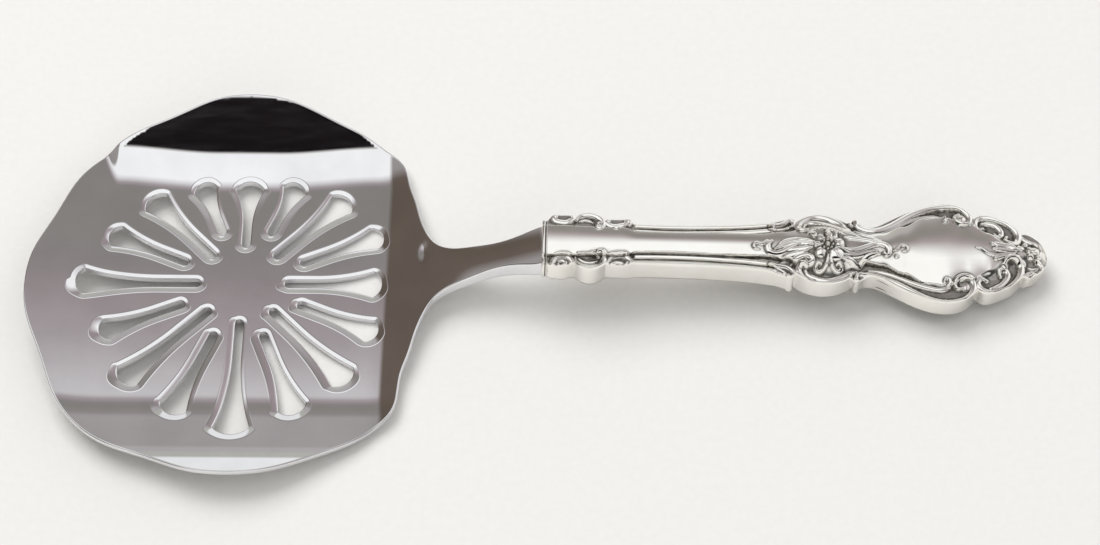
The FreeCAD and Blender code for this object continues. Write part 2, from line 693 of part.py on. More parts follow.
def relief():
    """Every raised ornament of one half."""
    ledge = S["wall_height"]
    top = S["wall_height"] + S["crown_rise"]
    third = S["ferrule_end"] / 3
    middle = (S["curl_end"] + S["bulge_end"]) / 2 + 0.5
    volute = S["shield_end"] - 2.8
    shapes = []
    shapes += scroll(0.55 * third, S["mouth_half"] - 1.35, 1.25, -35, 250, ledge)
    shapes += scroll(1.5 * third, S["ferrule_half"] - 2.5, 2.05, -15, 210, ledge)
    shapes += scroll(2.5 * third, S["mouth_half"] - 1.5, 1.15, -35, 250, ledge)
    for depth in (0.1, 0.1 + S["reed_width"] + S["reed_gap"]):
        shapes += reed(S["ferrule_end"] + 0.3, S["curl_end"] - 1.2, depth)
        shapes += reed(S["curl_end"] + 1.2, S["bulge_end"] - 1.0, depth)
        shapes += reed(S["bulge_end"] + 2.2, volute - 0.5, depth)
    shapes += reed(S["shield_end"] + 1.4, S["scroll_end"] - 0.8, 0.1)
    shapes += scroll(S["curl_end"] - 1.7, S["curl_half"] - 1.1, 0.75, 0, 300, ledge + 0.1, 0.6)
    shapes += scroll(S["curl_end"] + 1.5, S["bulge_half"] - 2.1, 0.8, 60, 280, ledge + 0.1, 0.6)
    shapes += scroll(S["bulge_end"] - 1.0, S["bulge_half"] - 2.4, 0.7, -60, 280, ledge + 0.1, 0.6)
    shapes += scroll(S["bulge_end"] + 1.0, S["waist_half"] + 0.1, 0.65, 0, 300, ledge + 0.1, 0.6)
    shapes += scroll(volute, S["shield_half"] - 2.75, 1.7, -140, 250, ledge, 1.0)
    shapes += scroll(volute - 3.3, S["shield_half"] - 3.9, 0.75, -140, 260, ledge + 0.1, 0.6)
    shapes += scroll(S["shield_end"] + 1.3, S["scroll_half"] - 1.9, 0.8, 40, 280, ledge + 0.1, 0.6)
    shapes += scroll(S["scroll_end"] - 3.6, S["scroll_half"] - 4.3, 1.1, -60, 280, ledge + 0.2, 0.7)
    shapes += blossom(middle, 0.0, 1.8, top - 0.15)
    shapes += blossom(S["handle_length"] - 3.6, 0.0, 1.2, ledge + 0.4)
    for side in (1, -1):
        shapes.append(leaf(middle - 2.4, side * 0.7, 180 - side * 4, 9.0, 1.5, top - 0.3, 0.8))
        shapes.append(leaf(middle - 2.6, side * 1.9, 180 - side * 18, 6.0, 1.3, top - 0.8, 0.8))
        shapes.append(leaf(middle + 2.6, side * 0.9, side * 3, 8.5, 1.4, top - 0.4, 0.8))
        shapes.append(leaf(middle + 2.4, side * 2.0, side * -2, 5.5, 1.3, top - 0.9, 0.8))
        shapes.append(leaf(middle, side * 2.9, side * 80, 2.2, 1.2, top - 1.2, 0.8))
        shapes.append(leaf(S["handle_length"] - 5.0, side * 0.7, 180 + side * 6, 6.5, 1.2, ledge + 1.1, 0.7))
        shapes.append(leaf(S["handle_length"] - 4.4, side * 2.2, 180 - side * 8, 4.0, 1.3, ledge + 0.4, 0.8))
    return shapes


def half_shape():
    """Wall, convex field and relief as one solid, then hollowed."""
    face = handle_face()
    wall = face.extrude(FreeCAD.Vector(0, 0, S["wall_height"]))
    reach = face.extrude(FreeCAD.Vector(0, 0, S["wall_height"] + 2 * S["crown_rise"]))
    ornament = relief()
    raised = ornament[0].multiFuse(ornament[1:]).common(reach)
    solid = wall.fuse([crown(0.0), raised]).cut(cavity(S["shell_wall"]))
    return solid.Solids[0]


pressing = doc.addObject("Part::Feature", "half_pressing")
pressing.Shape = half_shape()
front = doc.addObject("Part::Feature", "handle_front_shell")
front.Shape = pressing.Shape
back = doc.addObject("Part::Mirroring", "handle_back_shell")
back.Source = pressing
back.Base = FreeCAD.Vector(0, 0, 0)
back.Normal = FreeCAD.Vector(0, 0, 1)

# Collar: a thin plate on the mouth with a window for the neck.
collar_body = doc.addObject("PartDesign::Body", "collar_body")
section = new_sketch(collar_body, "collar_section", "YZ_Plane")
half_width = "(Sizes.mouth_half + Sizes.collar_lip)"
low_edge = "(Sizes.wall_height + Sizes.crown_rise - 0.3)"
rounding = "(0.8 * Sizes.wall_height)"
rounded_chain(section, [
    ("-" + half_width, "-" + low_edge, rounding),
    ("0", "-(Sizes.wall_height + Sizes.crown_rise + Sizes.collar_lip + 0.2)",
     "2 * Sizes.wall_height"),
    (half_width, "-" + low_edge, rounding),
    (half_width, low_edge, rounding),
    ("0", "Sizes.wall_height + Sizes.crown_rise + Sizes.collar_lip + 0.2",
     "2 * Sizes.wall_height"),
    ("-" + half_width, low_edge, rounding),
], True)
plate = collar_body.newObject("PartDesign::Pad", "collar_plate")
plate.Profile = section
plate.setExpression("Length", "Sizes.collar_length")
plate.Reversed = True
window = new_sketch(collar_body, "collar_window", "YZ_Plane")
side_gap = "(Sizes.neck_end_half + Sizes.collar_clearance)"
neck_rise = "(%s - Sizes.mouth_height)" % NECK_TOP
window_top = "%s + Sizes.collar_clearance" % neck_rise
window_low = ("%s - Sizes.neck_end_thickness - Sizes.collar_clearance"
              " - Sizes.collar_length * tan(Sizes.heel_angle)" % neck_rise)
window_round = "(Sizes.neck_round + Sizes.collar_clearance)"
rounded_chain(window, [
    ("-" + side_gap, window_low, window_round),
    (side_gap, window_low, window_round),
    (side_gap, window_top, None),
    ("-" + side_gap, window_top, None),
], True)
opening = collar_body.newObject("PartDesign::Pocket", "collar_opening")
opening.Profile = window
opening.setExpression("Length", "6 * Sizes.collar_length")
opening.Midplane = True
doc.recompute()


def cement_shape():
    """Filling of both halves around the tang."""
    half = cavity(S["shell_wall"] + S["cement_clearance"])
    other = half.mirror(FreeCAD.Vector(0, 0, 0), FreeCAD.Vector(0, 0, 1))
    whole = half.fuse(other).removeSplitter()
    to_handle = handle_place(0, 0, 0).inverse()
    metal = blade.Shape.copy()
    metal.Placement = to_handle.multiply(metal.Placement)
    return whole.cut(metal)


cement = doc.addObject("Part::Feature", "handle_cement")
cement.Shape = cement_shape()
doc.recompute()

# Every piece in the blade frame, then pitched about the heel until it rests, with
# the middle of the whole server's plan moved to the origin.
PIECES = [
    ("blade", blade, FreeCAD.Placement()),
    ("handle_front_shell", front, handle_place(0, 0, 0)),
    ("handle_back_shell", back, handle_place(0, 0, 0)),
    ("collar", collar_body, handle_place(0, 0, 0)),
    ("handle_cement", cement, handle_place(0, 0, 0)),
]


def lowest(shape, placement, pitch):
    """Lowest point of a piece once the whole server is pitched tip down."""
    turned = shape.copy()
    turn = FreeCAD.Placement(FreeCAD.Vector(0, 0, 0),
                             FreeCAD.Rotation(FreeCAD.Vector(0, 1, 0), pitch))
    turned.Placement = turn.multiply(placement)
    return turned.optimalBoundingBox(False).ZMin


def rest_pitch():
    """Pitch at which the pan's heel and the handle's tip touch one plane."""
    flat, steep = 0.0, 8.0
    for step in range(14):
        middle = (flat + steep) / 2
        gap = lowest(back_core, handle_place(0, 0, 0), middle) - lowest(pan_core, FreeCAD.Placement(), middle)
        if gap > 0:
            flat = middle
        else:
            steep = middle
    return (flat + steep) / 2


pan_core = blade.Shape
back_core = back.Shape
pitch = rest_pitch()
turn = FreeCAD.Rotation(FreeCAD.Vector(0, 1, 0), pitch)
drop = lowest(pan_core, FreeCAD.Placement(), pitch)
extent = FreeCAD.BoundBox()
for name, piece, place in PIECES:
    turned = piece.Shape.copy()
    turned.Placement = FreeCAD.Placement(FreeCAD.Vector(0, 0, 0), turn).multiply(place)
    extent.add(turned.optimalBoundingBox(False))
rest = FreeCAD.Placement(FreeCAD.Vector(-extent.Center.x, -extent.Center.y, -drop), turn)
print("pitch %.4f, moved by %s" % (pitch, rest.Base))

for name, piece, place in PIECES:
    piece.Label = name
    piece.Placement = rest.multiply(place)
doc.recompute()

for item in doc.Objects:
    if "Invalid" in item.State or "Error" in item.State:
        raise RuntimeError("%s is %s" % (item.Name, item.State))
for name, piece, place in PIECES:
    if piece.Shape.isNull() or not piece.Shape.isValid():
        raise RuntimeError("%s has no sound shape" % name)

os.makedirs("parts", exist_ok=True)
for name, piece, place in PIECES:
    piece.Shape.exportStep("parts/%s.step" % name)
    box = piece.Shape.optimalBoundingBox(False)
    print(name, len(piece.Shape.Solids), [round(x.Volume, 1) for x in piece.Shape.Solids],
          [round(v, 2) for v in (box.XMin, box.XMax, box.YMin, box.YMax, box.ZMin, box.ZMax)])
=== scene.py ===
import math

import bpy
import numpy as np
from mathutils import Matrix, Vector, geometry


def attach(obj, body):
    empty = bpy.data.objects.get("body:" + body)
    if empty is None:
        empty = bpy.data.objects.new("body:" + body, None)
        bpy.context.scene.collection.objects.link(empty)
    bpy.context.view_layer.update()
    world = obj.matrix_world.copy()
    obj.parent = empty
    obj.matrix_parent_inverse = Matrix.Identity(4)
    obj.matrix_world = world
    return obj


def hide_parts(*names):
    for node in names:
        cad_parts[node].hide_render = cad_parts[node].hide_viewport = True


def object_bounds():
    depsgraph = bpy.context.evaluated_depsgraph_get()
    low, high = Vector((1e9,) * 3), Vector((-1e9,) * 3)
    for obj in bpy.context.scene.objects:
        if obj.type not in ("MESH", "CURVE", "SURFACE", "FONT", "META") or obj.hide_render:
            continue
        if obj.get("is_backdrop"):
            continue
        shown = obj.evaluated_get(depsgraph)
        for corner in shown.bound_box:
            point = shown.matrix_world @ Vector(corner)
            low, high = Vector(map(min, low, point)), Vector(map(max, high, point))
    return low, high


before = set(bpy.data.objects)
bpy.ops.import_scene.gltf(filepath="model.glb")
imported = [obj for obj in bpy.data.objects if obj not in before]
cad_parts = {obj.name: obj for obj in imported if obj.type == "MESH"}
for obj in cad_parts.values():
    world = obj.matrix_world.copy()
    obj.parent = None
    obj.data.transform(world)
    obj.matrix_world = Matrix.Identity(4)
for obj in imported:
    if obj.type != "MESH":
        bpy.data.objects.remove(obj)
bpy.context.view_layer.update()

# All shapes are worked out in millimetres: the blade in a frame whose origin is
# where the slots meet, on the pan's flat top, and the handle along its own axis
# from its mouth. PITCH is how far the pan tilts at rest, DROOP how far the handle
# turns down from the pan, MOUTH where the handle begins in the blade's frame, and
# SHIFT brings the blade's origin to its place in the row.
MM = 0.001
PITCH = math.radians(3.5461)
DROOP = math.radians(1.8)
MOUTH = np.array([59.0, 0.0, 13.3])
SHIFT = np.array([-56.1207, 2.3446, 3.0464])


def turned(points, angle):
    """Points or directions turned about the Y axis."""
    c, s = math.cos(angle), math.sin(angle)
    x, y, z = points[:, 0], points[:, 1], points[:, 2]
    return np.stack([x * c + z * s, y, z * c - x * s], axis=1)


def blade_to_row(points):
    """From the blade's frame in millimetres to the row's in metres."""
    return (turned(points, PITCH) + SHIFT) * MM


def handle_to_row(points):
    """From the handle's frame in millimetres to the row's in metres."""
    return blade_to_row(turned(points, DROOP) + MOUTH)


def blade_way(normals):
    """Directions from the blade's frame to the row's."""
    return turned(normals, PITCH)


def handle_way(normals):
    """Directions from the handle's frame to the row's."""
    return turned(normals, PITCH + DROOP)


def unit(vectors):
    """Vectors brought to length one."""
    return vectors / np.maximum(np.linalg.norm(vectors, axis=-1, keepdims=True), 1e-12)


def smoothstep(x, low, high):
    """Eases from 0 at low to 1 at high."""
    t = np.clip((x - low) / (high - low), 0.0, 1.0)
    return t * t * (3 - 2 * t)


def spline(points, step):
    """A smooth cubic through points, sampled about every step."""
    p = np.array(points, float)
    t = np.concatenate([[0], np.cumsum(np.linalg.norm(np.diff(p, axis=0), axis=1))])
    n = len(p)
    h = np.diff(t)
    a = np.zeros((n, n))
    b = np.zeros((n, p.shape[1]))
    a[0, 0] = a[-1, -1] = 1.0
    for i in range(1, n - 1):
        a[i, i - 1:i + 2] = h[i - 1], 2 * (h[i - 1] + h[i]), h[i]
        b[i] = 6 * ((p[i + 1] - p[i]) / h[i] - (p[i] - p[i - 1]) / h[i - 1])
    m = np.linalg.solve(a, b)
    s = np.linspace(0, t[-1], max(int(t[-1] / step), 4) + 1)
    i = np.clip(np.searchsorted(t, s, side="right") - 1, 0, n - 2)
    x0 = (s - t[i])[:, None]
    x1 = (t[i + 1] - s)[:, None]
    w = h[i][:, None]
    return ((m[i] * x1 ** 3 + m[i + 1] * x0 ** 3) / (6 * w)
            + (p[i] / w - m[i] * w / 6) * x1 + (p[i + 1] / w - m[i + 1] * w / 6) * x0)


WELD = 2e4  # Points that agree to one part of this many in a millimetre are one.


class Sheets:
    """Collects patches of points, normals and faces, and makes them one mesh."""

    def __init__(self):
        self.points, self.normals, self.faces, self.marks = [], [], [], []
        self.count = 0

    def patch(self, points, normals, faces, mark=None):
        """Faces over new points. The mark says how deep in a recess each lies, and so how much shade is painted
        there.
        """
        self.points.append(points)
        self.normals.append(unit(normals))
        self.marks.append(np.zeros(len(points)) if mark is None else mark)
        self.faces += [tuple(i + self.count for i in face) for face in faces]
        self.count += len(points)

    def strip(self, rows, normals, closed=True, flip=False, mark=None):
        """Quads between neighbouring rows, given as arrays (rows, points, 3)."""
        k, n = rows.shape[:2]
        i = np.arange(n if closed else n - 1)
        j = (i + 1) % n
        faces = []
        for row in range(k - 1):
            a, b = row * n, (row + 1) * n
            quads = np.stack([a + i, b + i, b + j, a + j], axis=1)
            if flip:
                quads = quads[:, ::-1]
            faces += [tuple(q) for q in quads.tolist()]
        marks = None if mark is None else mark.reshape(-1)
        self.patch(rows.reshape(-1, 3), normals.reshape(-1, 3), faces, marks)

    def build(self, name, place, turn, material):
        """Weld the patches, keep their own normals at every corner, add the piece."""
        points = np.concatenate(self.points)
        normals = np.concatenate(self.normals)
        marks = np.concatenate(self.marks)
        keys = np.round(points * WELD).astype(np.int64)
        _, first, back = np.unique(keys, axis=0, return_index=True, return_inverse=True)
        back = back.reshape(-1)
        faces, corner = [], []
        for face in self.faces:
            welded = back[list(face)].tolist()
            if len(set(welded)) < 3:
                continue
            kept = [k for k in range(len(welded)) if welded[k] != welded[k - 1]]
            faces.append([welded[k] for k in kept])
            corner += [face[k] for k in kept]
        mesh = bpy.data.meshes.new(name)
        mesh.from_pydata(place(points[first]).tolist(), [], faces)
        mesh.polygons.foreach_set("use_smooth", [True] * len(mesh.polygons))
        mesh.normals_split_custom_set(turn(normals[corner]).tolist())
        # The marks are stored as the recess attribute, which the metals turn into painted shade.
        layer = mesh.attributes.new("recess", "FLOAT", "POINT")
        layer.data.foreach_set("value", marks[first].astype(np.float32))
        mesh.materials.append(material)
        item = bpy.data.objects.new(name, mesh)
        bpy.context.scene.collection.objects.link(item)
        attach(item, "root")
        return item


# Materials -------------------------------------------------------------------
# Noise scales, in cells a metre.
CLOUDS, SCRATCHES, SHADE_BREAKUP = 90.0, 900.0, 1500.0
SCRATCH_DEPTH = 1.5e-7


def new_material(name):
    """A material with one shader, its tree and the shader."""
    material = bpy.data.materials.new(name)
    material.use_nodes = True
    nodes = material.node_tree.nodes
    nodes.clear()
    out = nodes.new("ShaderNodeOutputMaterial")
    shader = nodes.new("ShaderNodeBsdfPrincipled")
    material.node_tree.links.new(shader.outputs[0], out.inputs[0])
    return material, material.node_tree, shader


def node(tree, kind, **values):
    """A node with its inputs or settings given by name."""
    made = tree.nodes.new(kind)
    for key, value in values.items():
        if key in made.inputs:
            made.inputs[key].default_value = value
        else:
            setattr(made, key, value)
    return made


def noise_in(tree, coordinates, scale, detail, stretch=(1, 1, 1)):
    """Noise over coordinates, stretched along each axis."""
    mapping = node(tree, "ShaderNodeMapping")
    mapping.inputs["Scale"].default_value = stretch
    tree.links.new(coordinates, mapping.inputs["Vector"])
    made = node(tree, "ShaderNodeTexNoise")
    made.inputs["Scale"].default_value = scale
    made.inputs["Detail"].default_value = detail
    tree.links.new(mapping.outputs[0], made.inputs["Vector"])
    return made.outputs["Fac"]


def spread(tree, value, low, high, to_low, to_high):
    """A value carried from one range to another, and held within it."""
    made = node(tree, "ShaderNodeMapRange", clamp=True)
    for name, number in (("From Min", low), ("From Max", high), ("To Min", to_low), ("To Max", to_high)):
        made.inputs[name].default_value = number
    tree.links.new(value, made.inputs["Value"])
    return made.outputs[0]


def colour_mix(tree, factor, first, second):
    """A mix of two colours, each a tuple or a socket, by a factor's socket."""
    made = node(tree, "ShaderNodeMix", data_type="RGBA")
    for socket, colour in ((6, first), (7, second)):
        if isinstance(colour, tuple):
            made.inputs[socket].default_value = colour + (1.0,)
        else:
            tree.links.new(colour, made.inputs[socket])
    tree.links.new(factor, made.inputs[0])
    return made.outputs[2]


def metal(name, bright, dull, painted_shade, gloss, waves, wave_size, scratch_way):
    """Polished metal: cloudy polish, fine scratches, and shade painted into its recesses."""
    material, tree, shader = new_material(name)
    place = node(tree, "ShaderNodeTexCoord").outputs["Object"]
    cloud = noise_in(tree, place, CLOUDS, 4.0)
    fine = noise_in(tree, place, SCRATCHES, 3.0, scratch_way)
    tone = colour_mix(tree, spread(tree, cloud, 0.35, 0.65, 0.0, 1.0), bright, dull)
    # The recess mark sets how much painted shade darkens the colour, broken up by noise; it also roughens the
    # metal there.
    recess = node(tree, "ShaderNodeAttribute", attribute_name="recess").outputs["Fac"]
    shade_breakup = noise_in(tree, place, SHADE_BREAKUP, 3.0)
    shade_amount = node(tree, "ShaderNodeMath", operation="MULTIPLY")
    tree.links.new(recess, shade_amount.inputs[0])
    tree.links.new(spread(tree, shade_breakup, 0.3, 0.7, 0.75, 1.0), shade_amount.inputs[1])
    tree.links.new(colour_mix(tree, shade_amount.outputs[0], tone, painted_shade), shader.inputs["Base Color"])
    shader.inputs["Metallic"].default_value = 1.0
    rough = node(tree, "ShaderNodeMath", operation="MULTIPLY_ADD")
    tree.links.new(shade_amount.outputs[0], rough.inputs[0])
    rough.inputs[1].default_value = 0.3
    tree.links.new(spread(tree, fine, 0.3, 0.7, gloss[0], gloss[1]), rough.inputs[2])
    tree.links.new(rough.outputs[0], shader.inputs["Roughness"])
    broad = noise_in(tree, place, 1.0 / wave_size, 1.0, (0.35, 1.0, 1.0))
    bump = node(tree, "ShaderNodeBump")
    bump.inputs["Strength"].default_value = 1.0
    bump.inputs["Distance"].default_value = waves
    tree.links.new(broad, bump.inputs["Height"])
    hair = node(tree, "ShaderNodeBump")
    hair.inputs["Strength"].default_value = 1.0
    hair.inputs["Distance"].default_value = SCRATCH_DEPTH
    tree.links.new(fine, hair.inputs["Height"])
    tree.links.new(bump.outputs[0], hair.inputs["Normal"])
    tree.links.new(hair.outputs[0], shader.inputs["Normal"])
    return material


# The third colour of each metal is the painted shade of its recesses.
steel = metal("polished_steel", (0.87, 0.865, 0.88), (0.80, 0.795, 0.81), (0.35, 0.34, 0.34),
              (0.04, 0.08), 4e-5, 0.013, (0.15, 1.0, 1.0))
silver = metal("polished_silver", (0.96, 0.945, 0.91), (0.92, 0.90, 0.85), (0.07, 0.062, 0.045),
               (0.07, 0.15), 6e-6, 0.009, (0.12, 1.0, 1.0))

filler, tree, shader = new_material("handle_filler")
place = node(tree, "ShaderNodeTexCoord").outputs["Object"]
grain = noise_in(tree, place, 1800.0, 6.0)
speckle = colour_mix(tree, spread(tree, grain, 0.3, 0.7, 0.0, 1.0), (0.42, 0.36, 0.30), (0.30, 0.25, 0.20))
tree.links.new(speckle, shader.inputs["Base Color"])
shader.inputs["Roughness"].default_value = 0.9
grit = node(tree, "ShaderNodeBump")
grit.inputs["Distance"].default_value = 1e-4
tree.links.new(grain, grit.inputs["Height"])
tree.links.new(grit.outputs[0], shader.inputs["Normal"])


# Blade -----------------------------------------------------------------------
def chain(corners, step=0.06):
    """Line through corners (x, z, radius), with a tangent arc at each radius."""
    line = [corners[0][:2]]
    for before, here, after in zip(corners, corners[1:], corners[2:]):
        p = np.array(here[:2], float)
        a = unit(np.array(before[:2]) - p)
        b = unit(np.array(after[:2]) - p)
        half = math.acos(np.clip(a @ b, -1, 1)) / 2
        middle = unit(a + b)
        centre = p + middle * here[2] / math.sin(half)
        start, end = (p + way * here[2] / math.tan(half) for way in (a, b))
        first = math.atan2(*(start - centre)[::-1])
        sweep = (math.atan2(*(end - centre)[::-1]) - first + math.pi) % (2 * math.pi) - math.pi
        count = max(int(abs(sweep) * here[2] / step), 3)
        for turn in np.linspace(first, first + sweep, count + 1):
            line.append((centre[0] + here[2] * math.cos(turn), centre[1] + here[2] * math.sin(turn)))
    line.append(corners[-1][:2])
    return np.array(line)


class Profile:
    """Height along one direction, read from a chain."""

    def __init__(self, corners):
        line = chain(corners)
        self.x = np.arange(line[0, 0], line[-1, 0], 0.02)
        self.z = np.interp(self.x, line[:, 0], line[:, 1])

    def __call__(self, x):
        return np.interp(x, self.x, self.z)


# The pan's folds: the line where its planes meet, how far each fold turns in
# degrees, and the radius of its bend. BACK_START is where the back bend begins.
HEEL_LINE, HEEL_TURN, HEEL_BEND = 26.8, 26.0, 9.0
TOE_LINE, TOE_TURN, TOE_BEND = 28.0, 12.0, 25.0
FRONT_LINE, FRONT_TURN, FRONT_BEND = 27.3, 11.0, 25.0
BACK_START, BACK_TURN, BACK_BEND = 20.0, 30.0, 18.0
# Past its lens-shaped middle the back fold is flatter, and it fades out before
# the corner with the toe. The rim of the front lobe curls up.
BACK_RIM_TURN = 19.0
LENS_HALF, LENS_TOP, LENS_SOFT = 26.8, 38.1, 0.4
CURL_LINE, CURL_BEND = 36.5, 15.0
SHEET = 1.5
EDGE = 48.4  # Past the rim, where the folds' profiles end.
HEEL, TOE, FRONT = (math.tan(math.radians(a)) for a in (HEEL_TURN, TOE_TURN, FRONT_TURN))
NECK_THICK = 5.4
NECK_TOP = (59.0 - HEEL_LINE) * HEEL
along_top = Profile([(-EDGE, (EDGE - TOE_LINE) * TOE, 0), (-TOE_LINE, 0.0, TOE_BEND),
                     (HEEL_LINE, 0.0, HEEL_BEND), (59.0, NECK_TOP, 6.0), (62.0, NECK_TOP - 0.09, 0)])
along_low = Profile([(-EDGE, (EDGE - TOE_LINE) * TOE - 1.534, 0), (-28.158, -SHEET, 26.5),
                     (27.146, -SHEET, 10.5), (35.7, 8.9 * HEEL - 1.669, 12.0),
                     (44.7, 17.9 * HEEL - 0.66 * NECK_THICK, 12.0),
                     (58.0, NECK_TOP - NECK_THICK, 11.4), (62.0, NECK_TOP - 0.09 - NECK_THICK, 0)])
across_front = Profile([(-EDGE, (EDGE - FRONT_LINE) * FRONT, 0), (-FRONT_LINE, 0.0, FRONT_BEND),
                        (EDGE, 0.0, 0)])


def back_start(x):
    """Where the back fold begins: further out towards its ends."""
    return BACK_START + 1.5 * smoothstep(np.abs(x + 1), 6, 27)


def back_turn_in_plan(x):
    """The turn, in radians, by which the back fold shortens the plan."""
    return math.radians(BACK_TURN) * (1 - 0.38 * (smoothstep(-x, 23.0, 27.5) + smoothstep(x, 21.5, 26.5)))


def back_fold(x, y):
    """Height of the back fold: a steep lens with a flatter rim round it."""
    steep, flat = math.radians(BACK_TURN), math.radians(BACK_RIM_TURN)
    start = back_start(x) + 9.0 * smoothstep(-x, 26.0, 31.5)
    past = np.maximum(y - start, 0)
    end = BACK_BEND * math.sin(steep)
    round_part = np.sqrt(BACK_BEND ** 2 - np.minimum(past, end) ** 2)
    z = BACK_BEND - round_part + np.maximum(past - end, 0) * math.tan(steep)
    low = start + 7.0
    lens = low + (LENS_TOP - low) * np.clip(1 - ((x + 0.4) / LENS_HALF) ** 2, 0, 1) ** 0.9
    rim = np.maximum(y - lens, 0)
    return z - (math.tan(steep) - math.tan(flat)) * (rim - LENS_SOFT * (1 - np.exp(-rim / LENS_SOFT)))


def face_height(xy, along):
    """Height of the top or the underside, at places in plan."""
    x, y = xy[..., 0], xy[..., 1]
    curl = np.maximum(-CURL_LINE - y, 0) ** 2 / (2 * CURL_BEND)
    z = along(x) + across_front(y) + back_fold(x, y) + curl
    if along is along_top:
        # The neck is crowned, with a small dent beside its foot.
        z = z + 0.35 * smoothstep(x, 38, 46) * (1 - np.clip(y / 3.4, -1.3, 1.3) ** 2)
        z = z - 0.3 * np.exp(-((x - 35.2) / 0.9) ** 2 - ((y - 5.0) / 1.9) ** 2)
    return z


def face_normal(xy, along):
    """Normals of the top or the underside, not yet of length one."""
    step = 0.08
    gx, gy = ((face_height(xy + way, along) - face_height(xy - way, along)) / (2 * step)
              for way in (np.array([step, 0.0]), np.array([0.0, step])))
    if along is along_top:
        # Polishing leaves the middle of the pan very slightly domed.
        gy = gy - 0.0016 * np.clip(xy[..., 1], -24, 18) * smoothstep(-xy[..., 0], -38, -24)
    return np.stack([-gx, -gy, np.ones_like(gx)], axis=-1)


def fold_reach(reach, start, bend, angle):
    """How far out a point of the flat blank lies once its fold is made."""
    turn = math.radians(angle)
    past = reach - start
    if past <= 0:
        return reach
    if past < bend * turn:
        return start + bend * math.sin(past / bend)
    return start + bend * math.sin(turn) + (past - bend * turn) * math.cos(turn)


def bend_start(line, bend, angle):
    """Where the bend of a fold begins, before the line where its planes meet."""
    return line - bend * math.tan(math.radians(angle / 2))


def to_plan(x, y):
    """Where a point of the flat blank lies in plan once the pan is folded."""
    if x >= 0:
        x = fold_reach(x, bend_start(HEEL_LINE, HEEL_BEND, HEEL_TURN), HEEL_BEND, HEEL_TURN)
    else:
        x = -fold_reach(-x, bend_start(TOE_LINE, TOE_BEND, TOE_TURN), TOE_BEND, TOE_TURN)
    if y >= 0:
        y = fold_reach(y, float(back_start(x)), BACK_BEND, math.degrees(back_turn_in_plan(x)))
    else:
        y = -fold_reach(-y, bend_start(FRONT_LINE, FRONT_BEND, FRONT_TURN), FRONT_BEND, FRONT_TURN)
    return x, y


LOBE = 45.0
RIM_RADIUS, RIM_FORWARD = 40.33, 1.5


def rim_point(angle):
    """A rim of shallow lobes with soft notches between them."""
    offset = abs((angle / LOBE + 0.5) % 1.0 - 0.5) * 2
    rise = 0.7 if min(angle, 360 - angle) < 1.5 * LOBE else 1.7
    radius = RIM_RADIUS + rise * (1 - offset ** 2)
    turn = math.radians(angle)
    return to_plan(radius * math.cos(turn), radius * math.sin(turn) - RIM_FORWARD)


# From the heel's last lobe along the neck to the handle's mouth.
SHOULDER = [(31.7, 21.0), (32.9, 17.3), (34.0, 13.2), (35.4, 9.4), (37.7, 6.0), (40.8, 4.275),
            (44.1, 3.6), (50.1, 2.95), (54.55, 3.57), (57.7, 4.2), (59.0, 4.2)]
angles = [42.0, 48.0, 56.0, 64.0]
for lobe in range(2, 7):
    angles += [LOBE * (lobe + 0.5 * share) for share in (-0.84, -0.45, 0.0, 0.45, 0.84)]
angles += [296.0, 304.0, 312.0, 318.0]
outline = spline(list(reversed(SHOULDER)) + [rim_point(a) for a in angles]
                 + [(x, -y) for x, y in SHOULDER], 0.05)


RING_STEP, RING_WINDOW = 0.04, 25


def ring(points, count, soften):
    """Evenly smoothed closed loop with its outward normals, denser where it turns."""
    loop = np.concatenate([points, points[:1]])
    length = np.concatenate([[0], np.cumsum(np.linalg.norm(np.diff(loop, axis=0), axis=1))])
    n = int(length[-1] / RING_STEP)
    even = np.linspace(0, length[-1], n, endpoint=False)
    fine = np.stack([np.interp(even, length, loop[:, k]) for k in (0, 1)], axis=1)
    reach = np.arange(-RING_WINDOW, RING_WINDOW + 1) * RING_STEP
    weight = np.exp(-(reach / soften) ** 2 / 2)
    weight /= weight.sum()
    wide = np.concatenate([fine[-RING_WINDOW:], fine, fine[:RING_WINDOW]])
    fine = np.stack([np.convolve(wide[:, k], weight, mode="valid") for k in (0, 1)], axis=1)
    tangent = unit(np.roll(fine, -1, 0) - np.roll(fine, 1, 0))
    turn = np.linalg.norm(np.roll(tangent, -1, 0) - tangent, axis=1)
    load = 0.04 + np.minimum(turn, 0.2) * 0.9
    total = np.concatenate([[0], np.cumsum(load)])
    pick = np.interp(np.linspace(0, total[-1], count, endpoint=False), total, np.arange(n + 1))
    low = np.floor(pick).astype(int) % n
    share = (pick - np.floor(pick))[:, None]
    at = fine[low] * (1 - share) + fine[(low + 1) % n] * share
    way = unit(tangent[low] * (1 - share) + tangent[(low + 1) % n] * share)
    return at, np.stack([way[:, 1], -way[:, 0]], axis=1)


# The sixteen slots, anticlockwise from the handle: outer end and half width. Every
# second one starts nearer the middle. A slot's outer end bulges by SLOT_BULGE.
SLOT_REACH = [26.9, 28.8, 27.4, 24.5, 22.9, 24.4, 27.4, 28.9,
              32.3, 29.0, 30.7, 31.1, 33.4, 30.9, 30.4, 28.7]
SLOT_HALF = [2.8, 2.4] * 5 + [2.8, 2.8, 3.5, 2.8, 2.8, 2.4]
SLOT_START = (8.1, 11.75)
SLOT_BULGE = 1.6
STEM = 0.87
# Coined border of a slot, as (share of the width, distance past it, slope).
COIN = [(0.0, 0.0, 1.3), (0.06, 0.0, 0.6), (0.15, 0.0, 0.33), (0.5, 0.0, 0.28), (1.0, 0.0, 0.22),
        (1.0, 0.06, 0.0), (1.0, 0.12, -0.18), (1.0, 0.19, -0.10), (1.0, 0.26, 0.0)]


